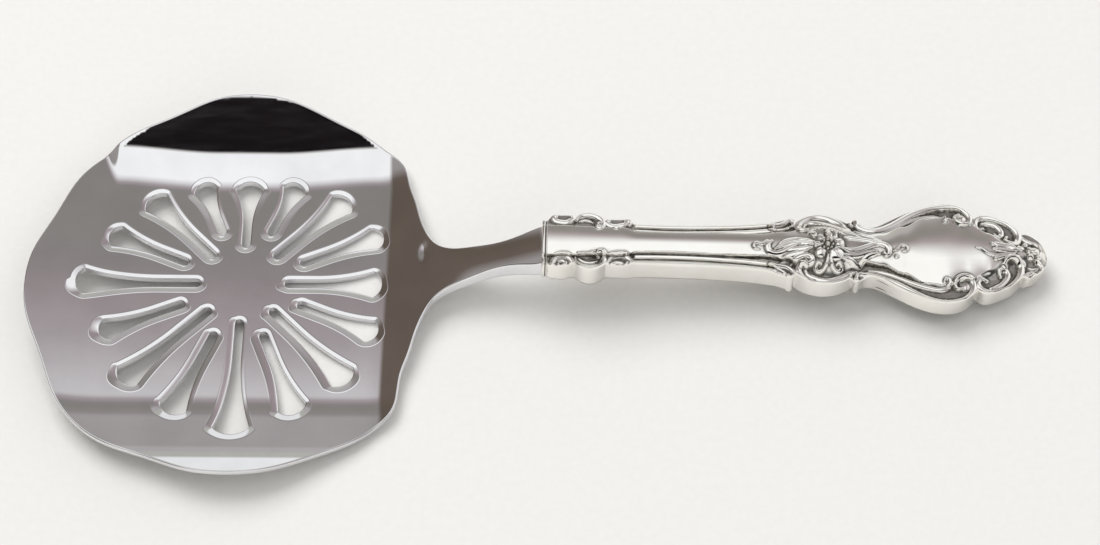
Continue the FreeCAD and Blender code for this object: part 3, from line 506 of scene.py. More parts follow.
def slot_line(index):
    """Teardrop drain slot: round inner end, stem, flare and convex outer end."""
    reach, half = SLOT_REACH[index], SLOT_HALF[index]
    inner, shoulder = SLOT_START[index % 2] + STEM, reach - SLOT_BULGE
    flare = shoulder - 0.68 * (shoulder - inner)
    run, climb = shoulder - flare, half - STEM
    bend = (run * run + climb * climb) / (2 * climb)
    turn = np.linspace(math.pi / 2, 1.5 * math.pi, 60)
    line = [np.stack([inner + STEM * np.cos(turn), STEM * np.sin(turn)], 1)]
    x = np.linspace(flare, shoulder, 200)
    side = STEM + bend - np.sqrt(bend ** 2 - (x - flare) ** 2)
    line.append(np.stack([x, -side], 1))
    radius = (half ** 2 + SLOT_BULGE ** 2) / (2 * SLOT_BULGE)
    limit = math.asin(half / radius)
    turn = np.linspace(-limit, limit, 80)
    line.append(np.stack([reach - radius + radius * np.cos(turn), radius * np.sin(turn)], 1))
    line.append(np.stack([x, side], 1)[::-1])
    line = np.concatenate(line)
    angle = math.radians(22.5 * index)
    c, s = math.cos(angle), math.sin(angle)
    return np.stack([line[:, 0] * c - line[:, 1] * s, line[:, 0] * s + line[:, 1] * c], 1)


def inside(points, loop):
    """Which points lie inside a closed loop."""
    x, y = points[:, 0][:, None], points[:, 1][:, None]
    x0, y0 = loop[:, 0], loop[:, 1]
    x1, y1 = np.roll(x0, -1), np.roll(y0, -1)
    crosses = (y0 > y) != (y1 > y)
    at = (x1 - x0) * (y - y0) / np.where(y1 == y0, 1e-9, y1 - y0) + x0
    return (crosses & (x < at)).sum(1) % 2 == 1


ROW_GAP = 0.866  # Of the spacing, for rows of even triangles.
EDGE_GAP = 0.45  # Of the spacing, kept free along edges.


def fill(border, holes, spacing):
    """Triangles between a border and holes: points in plan, and faces."""
    low, high = border.min(0), border.max(0)
    rows = np.arange(low[1], high[1], spacing * ROW_GAP)
    grid = []
    for number, y in enumerate(rows):
        x = np.arange(low[0] + (number % 2) * spacing / 2, high[0], spacing)
        grid.append(np.stack([x, np.full_like(x, y)], 1))
    grid = np.concatenate(grid)
    loops = [border] + holes
    keep = inside(grid, border)
    for hole in holes:
        keep &= ~inside(grid, hole)
    edge_points = np.concatenate(loops)
    near = np.full(len(grid), 1e9)
    for part in np.array_split(edge_points, 8):
        gap = np.linalg.norm(grid[:, None, :] - part[None, :, :], axis=2).min(1)
        near = np.minimum(near, gap)
    grid = grid[keep & (near > spacing * EDGE_GAP)]
    points = np.concatenate([edge_points, grid])
    edges, start = [], 0
    for loop in loops:
        n = len(loop)
        edges += [(start + i, start + (i + 1) % n) for i in range(n)]
        start += n
    made = geometry.delaunay_2d_cdt([Vector(p) for p in points.tolist()], edges, [], 0, 1e-7)
    spots = np.array([tuple(v) for v in made[0]])
    faces = np.array([f for f in made[2] if len(f) == 3])
    middle = spots[faces].mean(1)
    keep = inside(middle, border)
    for hole in holes:
        keep &= ~inside(middle, hole)
    return spots, faces[keep]


def with_height(xy, z):
    """Places in plan with their height added."""
    return np.concatenate([xy, np.asarray(z)[..., None]], axis=-1)


def side_normal(way):
    """Level directions, with no upward part."""
    return np.concatenate([way, np.zeros(way.shape[:-1] + (1,))], axis=-1)


# The pan's rolled edge, all the way round, from the top to the underside.
sheets = Sheets()
at, way = ring(outline, 760, 0.15)
top_round = 0.38
low_round = 0.35 + 0.75 * smoothstep(at[:, 0], 40.0, 46.0)
rows, normals = [], []
for degrees in (90, 68, 45, 22, 0):
    c, s = math.cos(math.radians(degrees)), math.sin(math.radians(degrees))
    spot = at - way * (top_round * (1 - c))
    rows.append(with_height(spot, face_height(spot, along_top) - top_round * (1 - s)))
    normals.append(side_normal(way) * c + unit(face_normal(spot, along_top)) * s)
for degrees in (0, 22, 45, 68, 90):
    c, s = math.cos(math.radians(degrees)), math.sin(math.radians(degrees))
    spot = at - way * (low_round * (1 - c))[:, None]
    rows.append(with_height(spot, face_height(spot, along_low) + low_round * (1 - s)))
    normals.append(side_normal(way) * c - unit(face_normal(spot, along_low)) * s)
sheets.strip(np.array(rows), np.array(normals))
top_border, low_border = rows[0][:, :2], rows[-1][:, :2]

# The slots: a coined border, widest on the near side and at the outer end, and
# a wall down to the underside.
slot_top, slot_low = [], []
for index in range(len(SLOT_REACH)):
    at, way = ring(slot_line(index), 118, 0.13)
    near = smoothstep(-way[:, 1], -0.15, 0.5)
    outer = smoothstep((unit(at) * way).sum(1), 0.5, 0.95)
    width = 0.66 + 0.62 * near + 0.2 * outer + 0.5 * smoothstep(-way[:, 0], 0.5, 1.0) * (at[:, 1] < 0)
    reach = [share * width + past for share, past, _ in COIN]
    drop = np.zeros(len(at))
    rows, normals = [], []
    for k in range(len(COIN) - 1, -1, -1):
        if k < len(COIN) - 1:
            drop = drop + (reach[k + 1] - reach[k]) * (COIN[k][2] + COIN[k + 1][2]) / 2
        spot = at + way * reach[k][:, None]
        rows.insert(0, with_height(spot, face_height(spot, along_top) - drop))
        normals.insert(0, unit(face_normal(spot, along_top) - side_normal(way) * COIN[k][2]))
    sheets.strip(np.array(rows), np.array(normals))
    slot_top.append(rows[-1][:, :2])
    wall = [rows[0], with_height(at, face_height(at, along_low))]
    sheets.strip(np.array(wall), np.array([-side_normal(way)] * 2), flip=True)
    slot_low.append(at)

# The faces between the edge and the slots.
spots, faces = fill(top_border, slot_top, 0.5)
sheets.patch(with_height(spots, face_height(spots, along_top)), face_normal(spots, along_top), faces.tolist())
spots, faces = fill(low_border, slot_low, 1.7)
sheets.patch(with_height(spots, face_height(spots, along_low)), -face_normal(spots, along_low),
             faces[:, ::-1].tolist())

# The tang, inside the handle.
TANG_FROM, TANG_TO, TANG_HALF_WIDE, TANG_HALF_THICK = -0.4, 51.8, 2.0, 1.5
corners = [(v * TANG_HALF_WIDE, w * TANG_HALF_THICK) for v, w in ((-1, -1), (1, -1), (1, 1), (-1, 1))]
ends = np.array([[(u, v, w) for v, w in corners] for u in (TANG_FROM, TANG_TO)])
ends = (turned(ends.reshape(-1, 3), DROOP) + MOUTH).reshape(2, 4, 3)
outward = np.array([[(0, v, w) for v, w in corners]] * 2, float)
sheets.strip(ends, outward, flip=True)
for row, facing, order in ((0, -1.0, (0, 3, 2, 1)), (1, 1.0, (0, 1, 2, 3))):
    sheets.patch(ends[row], np.array([[facing, 0.0, 0.0]] * 4), [order])
blade = sheets.build("blade_polished", blade_to_row, blade_way, steel)
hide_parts("blade")


# Handle ----------------------------------------------------------------------
LENGTH = 94.25
FERRULE_END = 16.2
# The outline as (along, half width), one list a lobe. The far side of the
# ferrule has its own.
OUTLINE = [
    [(0.0, 4.95), (2.86, 5.25), (5.2, 4.6)],
    [(5.2, 4.6), (6.36, 5.55), (8.1, 6.05), (9.84, 5.45), (11.0, 4.6)],
    [(11.0, 4.6), (13.6, 4.9), (16.2, 4.45)],
    [(16.2, 4.45), (25.3, 4.5), (33.0, 4.7), (40.3, 5.25), (44.6, 6.25), (46.1, 6.45), (46.7, 5.7)],
    [(46.7, 5.7), (48.2, 6.65), (51.4, 7.55), (54.3, 7.25), (57.2, 5.95)],
    [(57.2, 5.95), (57.9, 6.7), (59.3, 5.95), (61.4, 5.6), (63.8, 6.7), (66.8, 8.4), (70.5, 10.05),
     (74.6, 10.85), (78.0, 10.2), (80.6, 8.0)],
    [(80.6, 7.75), (81.6, 8.5), (85.0, 7.85), (87.1, 6.8), (89.3, 4.7)],
    [(89.3, 4.7), (90.1, 4.9), (91.6, 4.3), (92.9, 3.25), (93.9, 1.8), (94.3, 0.05)],
]
FERRULE = [
    [(0.0, 4.8), (0.9, 5.9), (2.8, 6.1), (4.4, 5.95), (5.05, 4.9)],
    [(5.05, 4.9), (5.9, 6.0), (7.6, 6.45), (9.4, 6.15), (10.7, 4.9)],
    [(10.7, 4.9), (11.4, 5.25), (13.4, 5.4), (15.4, 5.3), (16.2, 4.45)],
]


def joined(parts):
    """One line through all the lobes, with a notch where two meet."""
    return np.concatenate([spline(part, 0.1)[1 if n else 0:] for n, part in enumerate(parts)])


far_line, half_line = joined(FERRULE), joined(OUTLINE)
# The outline without its notches, which the reeds follow.
smooth_line = spline([(0, 4.95), (8, 4.9), (16.2, 4.5), (34, 4.7), (46, 6.2), (52, 7.3), (58, 6.3), (61.4, 5.7),
                      (67, 8.4), (74.6, 10.8), (80, 9.0), (86, 7.4), (90, 5.0), (94.3, 0.5)], 0.2)
# Half width of the plain field, and height of its crown, along the handle.
FIELD = [(0, 3.1), (14, 2.9), (17, 2.2), (40, 2.3), (45, 2.9), (48, 4.2), (53, 5.0), (56, 4.2), (60, 3.0),
         (63, 3.4), (67, 5.0), (71, 6.9), (75, 7.3), (79, 6.0), (83, 4.6), (87, 2.6), (90, 1.2), (94.3, 0.5)]
CROWN = [(0, 4.0), (44, 4.05), (52, 4.3), (62, 3.85), (72, 3.65), (82, 3.45), (90, 2.9), (94.3, 2.4)]

# Raised lines as (width, height, points), the points as (along, across).
RIDGES = [
    (0.98, 0.60, [(1.6, 5.5), (1.4, 5.8), (1.1, 5.5), (1.4, 4.8), (2.6, 4.4), (3.8, 4.5), (4.5, 5.0),
        (4.9, 5.6), (4.7, 6.0), (4.4, 5.7)]),
    (1.04, 0.80, [(5.3, 4.8), (5.9, 5.7), (6.9, 6.1), (8.3, 6.1), (9.4, 5.7), (10.2, 4.9), (10.4, 4.0),
        (10.0, 3.5), (9.5, 3.7), (9.5, 4.3), (10.0, 4.4)]),
    (0.60, 0.45, [(5.9, 4.6), (7.3, 4.9), (8.5, 4.4)]),
    (0.91, 0.60, [(11.6, 4.8), (11.3, 5.1), (11.1, 4.7), (11.5, 4.1), (12.6, 3.8), (13.9, 4.0), (14.8, 4.5),
        (15.2, 5.1), (15.5, 4.7), (15.3, 4.0)]),
    (0.98, 0.70, [(1.0, -5.2), (1.1, -4.2), (1.7, -3.5), (2.7, -3.1), (3.8, -3.2), (4.5, -3.8), (4.8, -4.7),
        (4.7, -5.5)]),
    (0.72, 0.40, [(2.2, -4.2), (2.9, -3.9), (3.4, -4.4), (3.1, -5.1), (2.4, -5.2), (2.1, -4.7)]),
    (1.04, 0.80, [(5.3, -3.5), (5.5, -4.4), (6.7, -5.2), (8.3, -5.4), (9.6, -5.1), (10.5, -4.3), (10.7, -3.3),
        (10.4, -2.5), (9.7, -2.4), (9.4, -2.9), (9.7, -3.2)]),
    (0.60, 0.45, [(5.9, -3.5), (7.1, -4.2), (8.3, -4.3), (9.4, -4.0)]),
    (0.98, 0.70, [(11.2, -4.3), (11.9, -3.2), (13.2, -2.7), (14.5, -2.7), (15.4, -3.3), (15.8, -4.1),
        (15.5, -4.7), (14.9, -4.6), (15.0, -4.1)]),
    (0.60, 0.40, [(11.9, -4.5), (13.0, -4.0), (14.2, -4.2)]),
    (0.72, 0.40, [(9.2, 2.6), (10.2, 2.7)]),
    (0.72, 0.40, [(12.5, 2.7), (13.4, 2.8)]),
    (0.72, 0.40, [(5.8, -2.8), (7.0, -2.9), (8.0, -2.8), (8.9, -2.4)]),
    (0.80, 0.80, [(41.7, 4.6), (43.6, 4.9), (44.9, 5.5), (45.8, 6.0), (46.3, 5.7), (46.2, 4.8), (45.7, 4.5)]),
    (0.60, 0.50, [(41.7, 3.8), (43.6, 3.9), (45.1, 4.2), (45.9, 4.8)]),
    (0.80, 0.80, [(41.6, -3.9), (43.4, -4.0), (45.0, -4.3), (46.1, -5.2), (46.2, -6.1), (45.6, -6.4),
        (45.2, -5.9)]),
    (0.55, 0.45, [(41.6, -3.6), (43.4, -4.6), (44.9, -5.7)]),
    (1.22, 0.80, [(48.9, 3.3), (47.9, 3.1), (47.3, 3.8), (47.3, 5.0), (48.2, 6.1), (49.8, 6.9), (51.9, 7.0),
        (53.9, 6.3), (55.7, 5.2), (56.9, 4.1)]),
    (0.88, 0.55, [(48.3, 4.3), (48.6, 5.3), (49.9, 5.7), (52.0, 5.6), (54.3, 4.9), (56.3, 4.0), (57.6, 3.3)]),
    (1.22, 0.80, [(48.7, -4.2), (47.7, -3.9), (47.1, -4.6), (47.4, -5.9), (48.6, -7.3), (50.5, -7.8),
        (52.9, -7.8), (54.9, -7.2), (56.4, -6.3), (56.9, -5.4)]),
    (0.88, 0.55, [(48.3, -4.6), (48.6, -5.4), (50.2, -6.4), (52.3, -6.8), (54.6, -6.2), (56.7, -5.2),
        (58.0, -4.7)]),
    (1.14, 0.90, [(57.5, 5.3), (57.1, 6.0), (57.5, 6.7), (58.2, 6.6), (58.4, 5.6), (59.5, 4.7), (61.4, 4.4),
        (63.8, 5.1), (66.6, 6.8), (69.3, 8.5), (72.4, 9.7), (75.5, 10.2), (77.9, 10.1), (79.3, 9.1),
        (79.9, 7.4), (79.0, 6.0), (77.7, 5.9), (76.9, 6.8), (77.0, 8.0), (77.8, 8.5)]),
    (0.84, 0.55, [(58.0, 4.2), (60.7, 3.6), (63.4, 4.3), (66.2, 5.7), (68.9, 7.0), (71.7, 7.8), (73.6, 7.9),
        (74.7, 7.5), (75.1, 6.6)]),
    (1.14, 0.90, [(58.3, -6.8), (58.0, -6.0), (58.3, -5.3), (59.4, -5.1), (61.7, -5.6), (64.4, -6.5),
        (67.0, -7.8), (69.6, -9.3), (72.2, -10.4), (74.9, -10.8), (77.2, -10.4), (78.9, -9.5), (79.9, -7.9),
        (79.8, -6.3), (78.7, -5.4), (77.3, -5.6), (76.5, -6.6), (76.9, -7.7), (77.8, -7.6)]),
    (0.84, 0.55, [(60.4, -4.3), (63.4, -4.7), (66.7, -5.9), (70.0, -7.2), (72.3, -7.8), (74.2, -7.9),
        (75.4, -7.2), (75.4, -6.2), (74.7, -5.9), (74.4, -6.5)]),
    (1.17, 0.85, [(82.3, 5.5), (81.3, 5.5), (80.8, 6.5), (81.2, 7.7), (82.7, 8.1), (84.8, 7.8), (86.6, 7.1),
        (88.2, 5.8), (88.9, 4.2), (88.5, 2.7), (87.3, 2.2), (86.5, 2.9), (86.7, 3.8)]),
    (0.91, 0.55, [(82.1, 6.7), (83.3, 6.8), (84.7, 6.4), (85.6, 5.4), (85.7, 4.4), (84.9, 3.8), (84.4, 4.2)]),
    (1.17, 0.85, [(82.5, -6.0), (81.5, -5.5), (80.8, -6.2), (81.1, -7.5), (82.7, -8.4), (84.7, -8.3),
        (86.9, -7.1), (88.5, -5.2), (89.1, -3.2), (88.7, -1.6), (87.6, -1.0), (86.4, -1.5), (86.0, -2.4)]),
    (0.91, 0.60, [(83.0, -7.5), (84.6, -7.0), (85.9, -5.8), (86.5, -4.4), (85.9, -3.5), (85.0, -3.9),
        (85.1, -4.9)]),
    (0.55, 0.50, [(39.7, -1.2), (39.0, -1.0), (38.7, -0.4), (39.2, 0.1), (40.3, -0.1), (41.3, 0.5),
        (42.0, 0.2)]),
    (0.98, 0.60, [(42.1, 0.5), (41.4, -0.3), (41.6, -1.5), (42.7, -2.0), (44.3, -1.6), (46.2, -0.5),
        (47.4, -0.1)]),
    (0.70, 0.50, [(42.7, -1.1), (44.3, -0.1), (46.2, 0.6), (47.4, 0.8)]),
    (0.70, 0.50, [(44.3, -2.9), (45.2, -2.4), (46.5, -2.0), (47.3, -1.8)]),
    (0.98, 0.60, [(43.6, -1.1), (45.3, -0.3), (47.3, 0.1), (49.6, 0.0)]),
    (0.84, 0.50, [(43.6, -0.1), (45.6, 0.8), (48.0, 0.9), (50.0, 0.5)]),
    (0.84, 0.50, [(43.6, -2.0), (45.6, -1.3), (47.6, -1.0), (49.6, -0.7)]),
    (0.84, 0.50, [(43.6, -3.6), (45.2, -2.8), (46.9, -2.0), (48.6, -1.6)]),
    (0.84, 0.50, [(45.6, -3.9), (46.8, -2.9), (48.3, -2.4), (49.5, -2.7), (49.6, -3.6), (48.9, -3.9),
        (48.4, -3.3)]),
    (0.60, 0.60, [(52.6, -2.2), (52.4, -3.5), (51.8, -4.7), (50.9, -5.2), (50.3, -4.6), (50.7, -3.7),
        (51.3, -4.0)]),
    (0.60, 0.60, [(53.0, -2.2), (53.2, -3.5), (53.7, -4.6), (54.6, -5.0), (55.2, -4.3), (54.8, -3.6),
        (54.2, -4.0)]),
    (0.94, 0.60, [(55.3, -0.6), (57.0, -1.1), (58.7, -0.7), (60.7, 0.2), (62.7, 0.6), (63.8, 0.1), (64.2, -0.9),
        (63.6, -1.7), (63.2, -1.2)]),
    (0.81, 0.50, [(55.6, -1.9), (57.6, -2.1), (59.6, -1.5), (61.7, -0.9)]),
    (0.81, 0.50, [(55.3, -2.6), (56.9, -3.0), (58.3, -3.7), (59.3, -2.8), (61.0, -1.6), (62.3, -1.4)]),
    (0.45, 0.50, [(65.0, -0.8), (65.7, -0.3), (66.7, 0.5), (67.5, 0.2), (67.4, -0.6), (66.7, -0.8)]),
    (0.81, 0.45, [(54.8, 3.4), (56.5, 3.3), (58.1, 2.7), (60.5, 1.9), (62.5, 1.3)]),
    (0.81, 0.45, [(55.8, 1.8), (57.8, 1.6), (59.8, 1.4), (61.8, 0.9)]),
    (1.10, 0.65, [(83.7, 1.5), (85.0, 1.3), (86.3, 1.2), (87.6, 0.9), (88.3, 0.6)]),
    (0.55, 0.50, [(80.6, 0.6), (81.5, 0.4), (82.6, -0.4), (83.7, -0.8), (85.0, -0.8), (86.5, -0.5),
        (87.9, -0.3)]),
    (0.70, 0.55, [(83.8, 0.5), (85.1, 0.3), (86.6, 0.2), (88.1, 0.1)]),
    (0.80, 0.60, [(84.0, -1.6), (85.0, -1.2), (86.1, -0.9), (87.7, -0.7)]),
    (0.75, 0.55, [(89.4, 4.1), (89.9, 3.4), (90.7, 2.9), (91.6, 2.5)]),
    (0.60, 0.50, [(91.6, 2.8), (92.6, 1.9), (93.1, 1.0)]),
    (0.70, 0.60, [(89.3, -5.8), (89.7, -4.8), (90.5, -4.0), (91.4, -4.0), (91.4, -4.8), (90.8, -5.0)]),
    (0.60, 0.50, [(90.4, -2.8), (91.3, -3.1), (92.2, -2.9)]),
    (0.90, 0.60, [(91.8, -1.3), (92.5, -1.9), (93.1, -2.7)]),
    (0.60, 0.50, [(49.0, 2.5), (49.6, 2.8), (50.3, 2.4), (50.1, 1.8), (49.5, 2.0)]),
    (0.65, 0.50, [(52.5, 2.1), (52.6, 3.0), (53.5, 3.4), (54.1, 2.6), (53.9, 1.5), (53.2, 1.4), (53.0, 2.1)]),
    (0.50, 0.40, [(50.3, 3.5), (51.6, 3.9), (53.1, 3.6), (54.6, 3.1), (56.1, 2.4)]),
]

# The blossom's middle, with a ring of beads round it.
BLOSSOM = (52.6, 0.0)
BEAD_RING = 1.02
# Raised domes as (along, across, radius, height).
DOMES = [(75.0, 6.1, 0.5, 0.6), (77.7, 5.6, 0.5, 0.5), (78.1, 7.4, 1.3, 0.75), (78.3, -7.0, 1.2, 0.45),
         (65.5, -1.8, 0.4, 0.45), (*BLOSSOM, 0.5, 0.8), (84.4, 3.6, 0.4, 0.4), (89.1, 1.1, 0.8, 0.6),
         (90.1, 2.2, 0.6, 0.5), (91.7, 0.7, 1.0, 0.65), (90.9, -0.7, 0.7, 0.55), (89.3, -2.1, 0.9, 0.6),
         (90.5, 0.2, 0.45, 0.7), (92.4, -0.6, 0.55, 0.55), (90.8, 1.3, 0.5, 0.5), (84.2, -1.6, 0.45, 0.5),
         (85.9, -2.8, 0.75, 0.7), (88.2, -1.1, 0.45, 0.45), (50.4, -0.1, 0.55, 0.5), (51.1, -0.1, 0.4, 0.45)]
for turn in range(8):
    angle = math.radians(45 * turn)
    DOMES.append((BLOSSOM[0] + BEAD_RING * math.cos(angle), BLOSSOM[1] + BEAD_RING * math.sin(angle), 0.27, 0.6))
# The blossom's petals as (direction in degrees, length, half width, height).
PETALS = [(6, 3.2, 1.5, 0.75), (-52, 3.9, 1.8, 0.75), (-128, 3.4, 1.4, 0.7), (178, 2.6, 0.8, 0.5),
          (128, 2.8, 0.9, 0.25), (80, 3.0, 0.9, 0.35)]


def lookup(table, x):
    """Values from a table, eased between its points."""
    t = np.array(table, float)
    i = np.clip(np.searchsorted(t[:, 0], x, side="right") - 1, 0, len(t) - 2)
    share = smoothstep(x, t[i, 0], t[i + 1, 0])
    return t[i, 1] * (1 - share) + t[i + 1, 1] * share


def roof(share):
    """Cross-section of a raised line: a low roof on steep, rounded sides."""
    share = np.clip(share, 0, 1)
    sides = np.sqrt(1 - np.clip((share - 0.6) / 0.4, 0, 1) ** 2)
    return 0.58 * sides + 0.42 * (1 - 1.15 * share ** 2 / (share + 0.15))


LINE_HALF, LINE_RISE = 0.66, 0.82  # Of the width and height listed for a line.


def ornament(u, v):
    """Height of every raised line, dome and petal above the ground under it."""
    z = np.zeros_like(u)
    for width, height, points in RIDGES:
        line = spline(points, 0.07)
        reach = width * LINE_HALF
        near = ((u > line[:, 0].min() - reach) & (u < line[:, 0].max() + reach)
                & (v > line[:, 1].min() - reach) & (v < line[:, 1].max() + reach))
        if not near.any():
            continue
        pu, pv = u[near], v[near]
        gaps = (pu[:, None] - line[:, 0]) ** 2 + (pv[:, None] - line[:, 1]) ** 2
        nearest = gaps.argmin(1)
        gap = np.sqrt(gaps[np.arange(len(pu)), nearest])
        # Lines taper towards both ends.
        share = nearest / (len(line) - 1)
        local = reach * (0.55 + 0.45 * smoothstep(np.minimum(share, 1 - share), 0.0, 0.18))
        rise = LINE_RISE * height * roof(gap / local)
        z[near] = np.maximum(z[near], rise)
    for along, across, radius, height in DOMES:
        gap = np.hypot(u - along, v - across) / radius
        z = np.maximum(z, height * np.clip(1 - gap ** 2, 0, 1) ** 0.5)
    du, dv = u - BLOSSOM[0], v - BLOSSOM[1]
    clear = smoothstep(np.hypot(du, dv), 1.25, 1.65)
    for angle, length, width, height in PETALS:
        c, s = math.cos(math.radians(angle)), math.sin(math.radians(angle))
        out = (du * c + dv * s) / length
        aside = np.abs(dv * c - du * s)
        spread_to = width * np.clip(out, 0, 1) ** 0.55 * np.clip(1.1 - 1.1 * out ** 6, 0, 1) ** 0.5
        share = np.clip(aside / np.maximum(spread_to, 1e-6), 0, 1)
        rim = smoothstep(spread_to - aside, 0.0, 0.24)
        vein = 0.05 * np.clip(1 - aside / 0.2, 0, 1) * smoothstep(out, 0.95, 0.7)
        swell = np.clip(1 - ((out - 0.62) / 0.5) ** 2 - (0.95 * share) ** 2, 0, 1)
        z = np.maximum(z, clear * rim * (height * (0.4 + 0.65 * swell) - vein))
    return z


def ground(u, v, edge):
    """Ledge, reeds and convex field, by place and distance from the edge."""
    ledge = 2.5 - 0.65 * smoothstep(u, 44, 64)
    half = lookup(FIELD, u)
    top = lookup(CROWN, u)
    bow = np.clip(1 - (v / np.maximum(half, 0.1)) ** 2, 0, 1)
    step = 1.25 - 0.2 * smoothstep(u, 60, 70)
    lean = 0.09 - 0.09 * smoothstep(u, 42, 48) + 0.08 * smoothstep(u, 56, 64)
    crown = ledge + step + (top - ledge - step) * bow + lean * np.clip(v, -half, half)
    # The field drops sharply to the ledge, but gently round the blossoms.
    soft = 0.12 + 1.1 * smoothstep(u, 45, 49) * smoothstep(u, 61, 57) + 1.2 * smoothstep(u, 80, 85)
    z = ledge + (crown - ledge) * smoothstep((half - np.abs(v)) / soft, -1, 1)
    # Along each side of the shaft run two reeds, with a groove between them.
    shaft = smoothstep(u, 16.0, 16.6) * smoothstep(u, 43.2, 42.0)
    for centre, reach, height in ((0.48, 0.5, 0.42), (1.78, 0.6, 0.48)):
        z = z + shaft * height * roof(np.abs(edge - centre) / reach)
    z = z - shaft * 0.2 * np.clip(1 - ((edge - 1.12) / 0.25) ** 2, 0, 1)
    return z


def blurred(z, reach):
    """Mean over a square window, on a grid."""
    for axis in (0, 1):
        total = np.cumsum(np.concatenate([np.repeat(z.take([0], axis), reach + 1, axis), z,
                                          np.repeat(z.take([-1], axis), reach, axis)], axis), axis)
        n = z.shape[axis]
        z = (total.take(range(2 * reach + 1, 2 * reach + 1 + n), axis)
             - total.take(range(0, n), axis)) / (2 * reach + 1)
    return z


# The relief as a grid of U along, V across and W up.
columns = np.unique(np.concatenate([np.arange(0, LENGTH, 0.15), [part[0][0] for part in OUTLINE + FERRULE],
                                    [LENGTH]]))
shares = np.linspace(-1, 1, 137)
low_half = np.interp(columns, half_line[:, 0], half_line[:, 1])
far_half = np.where(columns < FERRULE_END, np.interp(columns, far_line[:, 0], far_line[:, 1]), low_half)
smooth_half = np.interp(columns, smooth_line[:, 0], smooth_line[:, 1])
U = np.repeat(columns[:, None], len(shares), 1)
half = np.where(shares[None, :] > 0, far_half[:, None], low_half[:, None])
V = shares[None, :] * half + 0.18 * (1 - smoothstep(U, 40, 56))
edge = smooth_half[:, None] - np.abs(V)
true_edge = half * (1 - np.abs(shares[None, :]))
raised = ornament(U.ravel(), V.ravel()).reshape(U.shape)
W = ground(U, V, edge) + raised
# The edge is rounded over, and the tip slopes down.
W = W - 0.3 * np.clip(1 - true_edge / 0.3, 0, 1) ** 2
W = W * smoothstep(U, LENGTH + 1.2, LENGTH - 1.5)
# Shade is painted into narrow and wide hollows, and onto the ground of the ornament.
narrow = np.clip((blurred(W, 3) - W - 0.03) / 0.12, 0, 1)
wide = np.clip((blurred(W, 9) - W - 0.03) / 0.3, 0, 1)
off_field = smoothstep(np.abs(V) - lookup(FIELD, U), -0.2, 0.6)
off_shaft = np.maximum(smoothstep(U, 44, 46), smoothstep(U, 16.5, 15.5))
round_blossom = smoothstep(np.hypot(U - 52.5, V + 0.2), 4.4, 3.4)
low = np.maximum(off_field * off_shaft, round_blossom) * np.clip(1 - raised / 0.2, 0, 1)
hollow_shade = np.clip(narrow * 0.7 + wide * 0.5 + 0.4 * low, 0, 1) * smoothstep(true_edge, 0.0, 0.4)
grid = np.stack([U, V, W], axis=-1)
normal = np.cross(np.gradient(grid, axis=0), np.gradient(grid, axis=1))


def half_handle(name, side):
    """The relief, the side walls and the face at the mouth of one half."""
    sheets = Sheets()
    mirror = np.array([1.0, 1.0, side])
    flip = side < 0
    sheets.strip(grid * mirror, unit(normal) * mirror, closed=False, flip=flip, mark=hollow_shade)
    for column, way in ((-1, 1), (0, -1)):
        rim = grid[:, column]
        run = np.gradient(rim[:, :2], axis=0)
        outward = unit(np.stack([-run[:, 1] * way, run[:, 0] * way, np.zeros(len(run))], 1))
        rows, normals = [], []
        for share in (1.0, 0.85, 0.6, 0.3, 0.08, 0.0):
            row = rim.copy()
            row[:, 2] *= share
            rows.append(row)
            tilt = np.zeros((len(rim), 3))
            tilt[:, 2] = 0.5 if share == 1.0 else 0.0
            normals.append(unit(outward + tilt) * mirror)
        sheets.strip(np.array(rows) * mirror, np.array(normals), closed=False, flip=(way > 0) != flip)
    mouth = np.array([grid[0], grid[0] * np.array([1.0, 1.0, 0.0])])
    sheets.strip(mouth * mirror, np.array([[[-1.0, 0.0, 0.0]] * len(shares)] * 2), closed=False, flip=not flip)
    return sheets.build(name, handle_to_row, handle_way, silver)


front = half_handle("handle_front_chased", 1)
back = half_handle("handle_back_chased", -1)
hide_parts("handle_front_shell")
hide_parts("handle_back_shell")

# The filling round the tang: the relief made smaller, clear of the thin walls.
sheets = Sheets()
inner = grid[::6, ::6] * np.array([0.97, 0.86, 0.6])
for side in (1, -1):
    mirror = np.array([1.0, 1.0, side])
    sheets.strip(inner * mirror, unit(normal[::6, ::6]) * mirror, closed=False, flip=side < 0)
core = sheets.build("handle_filling", handle_to_row, handle_way, filler)
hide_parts("handle_cement")

# Collar: two beads with a groove between them, on a plate round the neck. Its
# outline follows the handle's mouth, and its window the neck.
COLLAR_POINTS = 240
COLLAR_DEPTH = 1.0
WINDOW_HALF_WIDE, WINDOW_HALF_HIGH, WINDOW_DROP = 4.35, 2.85, 0.3
full = 2 * math.pi
turns = np.linspace(0, full, COLLAR_POINTS, endpoint=False)
ways = np.stack([np.cos(turns), np.sin(turns)], 1)
mouth = np.concatenate([grid[0, ::-1, 1:], grid[0, :, 1:] * np.array([1.0, -1.0])])
once = np.unwrap(np.arctan2(mouth[:, 1], mouth[:, 0]))
thrice = np.concatenate([once, once + full, once - full])
order = np.argsort(thrice)
far = np.interp(turns, thrice[order], np.tile(np.hypot(*mouth.T), 3)[order])
window = ((np.abs(ways[:, 0]) / WINDOW_HALF_WIDE) ** 4 + (np.abs(ways[:, 1]) / WINDOW_HALF_HIGH) ** 4) ** -0.25
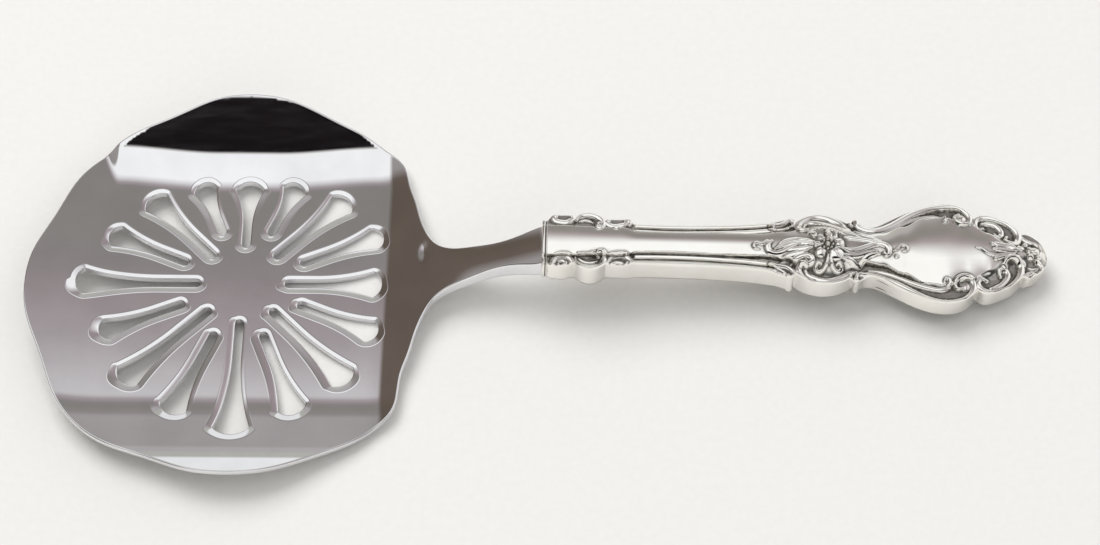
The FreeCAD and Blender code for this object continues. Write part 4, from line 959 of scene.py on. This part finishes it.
# Section of the beads as (along, distance outside the mouth's outline, painted shade).
BEADS = [(0.0, -0.4, 0.8), (-0.02, 0.0, 0), (-0.10, 0.09, 0), (-0.20, 0.05, 0), (-0.27, -0.10, 0.8),
         (-0.33, -0.17, 1.0), (-0.40, -0.12, 0.8), (-0.48, 0.04, 0), (-0.60, 0.13, 0), (-0.76, 0.13, 0),
         (-0.90, 0.04, 0), (-0.98, -0.12, 0), (-1.0, -0.3, 0)]
rows = [np.stack([np.full(COLLAR_POINTS, u), ways[:, 0] * (far + out), ways[:, 1] * (far + out)], 1)
        for u, out, _ in BEADS]
rows.append(np.stack([np.full(COLLAR_POINTS, -COLLAR_DEPTH), ways[:, 0] * window,
                      ways[:, 1] * window - WINDOW_DROP], 1))
rows.append(rows[-1] + np.array([COLLAR_DEPTH, 0.0, 0.0]))
rows = np.array(rows)
normals = np.cross(np.gradient(rows, axis=0), np.roll(rows, -1, 1) - np.roll(rows, 1, 1))
# The groove, the edges of the beads and the plate behind them get painted shade.
painted_shades = np.array([painted_shade for _, _, painted_shade in BEADS] + [0.3, 0.6])
sheets = Sheets()
sheets.strip(rows, unit(normals), mark=np.repeat(painted_shades[:, None], COLLAR_POINTS, 1))
collar = sheets.build("collar_beaded", handle_to_row, handle_way, silver)
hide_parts("collar")

# Floor, light and camera -----------------------------------------------------
floor_material, tree, shader = new_material("pale_floor")
place = node(tree, "ShaderNodeTexCoord").outputs["Object"]
weave = noise_in(tree, place, 700.0, 3.0)
pale = colour_mix(tree, spread(tree, weave, 0.3, 0.7, 0.0, 1.0), (0.735, 0.725, 0.705), (0.715, 0.705, 0.685))
tree.links.new(pale, shader.inputs["Base Color"])
shader.inputs["Roughness"].default_value = 0.85
bpy.ops.mesh.primitive_plane_add(size=6.0)
floor = bpy.context.object
floor.name = "floor"
floor.data.materials.append(floor_material)
floor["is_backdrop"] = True


def area_light(name, place, size, power):
    """A square light aimed at the part, which its metal does not mirror."""
    data = bpy.data.lights.new(name, "AREA")
    data.shape = "RECTANGLE"
    data.size, data.size_y = size, size
    data.energy = power
    item = bpy.data.objects.new(name, data)
    item.location = place
    item.rotation_euler = (-Vector(place)).to_track_quat("-Z", "Y").to_euler()
    item.visible_glossy = False
    bpy.context.scene.collection.objects.link(item)


area_light("key", (-0.5, 0.7, 1.5), 1.2, 22.0)
area_light("fill", (0.7, -0.7, 1.2), 1.4, 6.0)

# The studio that the metal mirrors, as colours over the direction's Y: -1 is
# behind the camera, 0 overhead and 1 beyond the part.
world = bpy.data.worlds.new("studio")
bpy.context.scene.world = world
world.use_nodes = True
tree = world.node_tree
tree.nodes.clear()
out = tree.nodes.new("ShaderNodeOutputWorld")
light = tree.nodes.new("ShaderNodeBackground")
tree.links.new(light.outputs[0], out.inputs[0])
direction = tree.nodes.new("ShaderNodeTexCoord").outputs["Generated"]
split = tree.nodes.new("ShaderNodeSeparateXYZ")
tree.links.new(direction, split.inputs[0])
across = spread(tree, split.outputs["Y"], -1.0, 1.0, 0.0, 1.0)
SKY = [
    # In the middle: pale low down, a dark gap, a white panel overhead, greys, pale.
    (None, [(-1.0, (0.80, 0.79, 0.76)), (-0.70, (0.90, 0.89, 0.87)), (-0.64, (0.06, 0.055, 0.05)),
            (-0.61, (0.011, 0.009, 0.010)), (-0.37, (0.009, 0.007, 0.008)), (-0.335, (0.60, 0.59, 0.57)),
            (-0.31, (1.02, 1.03, 1.03)), (0.29, (1.02, 1.03, 1.03)), (0.38, (0.72, 0.71, 0.72)),
            (0.45, (0.42, 0.38, 0.385)), (0.495, (0.335, 0.29, 0.298)), (0.525, (0.27, 0.255, 0.245)),
            (0.58, (0.26, 0.25, 0.232)), (0.66, (0.30, 0.28, 0.27)), (0.74, (0.46, 0.435, 0.435)),
            (0.80, (0.46, 0.44, 0.44)), (0.825, (0.49, 0.485, 0.45)), (0.885, (0.49, 0.485, 0.45)),
            (0.905, (0.90, 0.91, 0.91)), (1.0, (0.88, 0.89, 0.89))]),
    # To the right, over a span of X, the panel gives way to grey.
    ((0.26, 0.36), [(-1.0, (0.80, 0.79, 0.76)), (-0.70, (0.85, 0.84, 0.82)), (-0.61, (0.02, 0.018, 0.018)),
                    (-0.40, (0.02, 0.018, 0.018)), (-0.30, (0.36, 0.31, 0.32)), (0.10, (0.48, 0.44, 0.45)),
                    (0.42, (0.40, 0.34, 0.35)), (0.52, (0.355, 0.30, 0.31)), (0.70, (0.34, 0.29, 0.30)),
                    (0.84, (0.36, 0.34, 0.32)), (0.91, (0.8, 0.8, 0.8)), (1.0, (0.8, 0.8, 0.8))]),
    # Further right a second panel.
    ((0.42, 0.52), [(-1.0, (0.80, 0.79, 0.76)), (-0.70, (0.85, 0.84, 0.82)), (-0.61, (0.05, 0.05, 0.04)),
                    (-0.42, (0.05, 0.05, 0.04)), (-0.30, (0.50, 0.49, 0.50)),
                    (0.30, (0.85, 0.85, 0.86)), (0.42, (1.0, 1.0, 1.0)), (0.66, (1.0, 1.0, 1.0)),
                    (0.80, (0.60, 0.60, 0.60)), (1.0, (0.5, 0.5, 0.5))]),
    # To the left a dull wall.
    ((-0.50, -0.62), [(-1.0, (0.78, 0.76, 0.72)), (-0.70, (0.7, 0.68, 0.64)), (-0.62, (0.05, 0.045, 0.035)),
                      (-0.40, (0.05, 0.045, 0.035)), (-0.30, (0.36, 0.35, 0.33)), (0.25, (0.34, 0.32, 0.31)),
                      (0.42, (0.15, 0.12, 0.10)), (0.60, (0.13, 0.105, 0.085)), (1.0, (0.12, 0.10, 0.08))]),
]
sky = None
for span, bands in SKY:
    ramp = tree.nodes.new("ShaderNodeValToRGB")
    tree.links.new(across, ramp.inputs[0])
    stops = ramp.color_ramp.elements
    stops.remove(stops[1])
    stops[0].position, stops[0].color = 0.0, bands[0][1] + (1.0,)
    for along_y, colour in bands[1:]:
        stops.new((along_y + 1) / 2).color = colour + (1.0,)
    if span is None:
        sky = ramp.outputs[0]
    else:
        beyond = spread(tree, split.outputs["X"], span[0], span[1], 0.0, 1.0)
        sky = colour_mix(tree, beyond, sky, ramp.outputs[0])
tree.links.new(sky, light.inputs["Color"])
light.inputs["Strength"].default_value = 1.0

# The photo's angle, as fitted to its outlines.
CAMERA_AT = (48.005, -296.348, 504.076)
camera_data = bpy.data.cameras.new("camera")
camera_data.lens = 100.0
camera_data.sensor_width = 36.0
camera = bpy.data.objects.new("camera", camera_data)
bpy.context.scene.collection.objects.link(camera)
right = Vector((0.9968185, 0.0191555, -0.0773691))
up = Vector((0.0231687, 0.8591411, 0.5112141))
behind = right.cross(up)
turn = Matrix((right, up, behind)).transposed().to_4x4()
camera.matrix_world = Matrix.Translation(Vector(CAMERA_AT) * MM) @ turn
bpy.context.scene.camera = camera
bpy.context.scene.view_settings.view_transform = "Standard"

low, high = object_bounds()
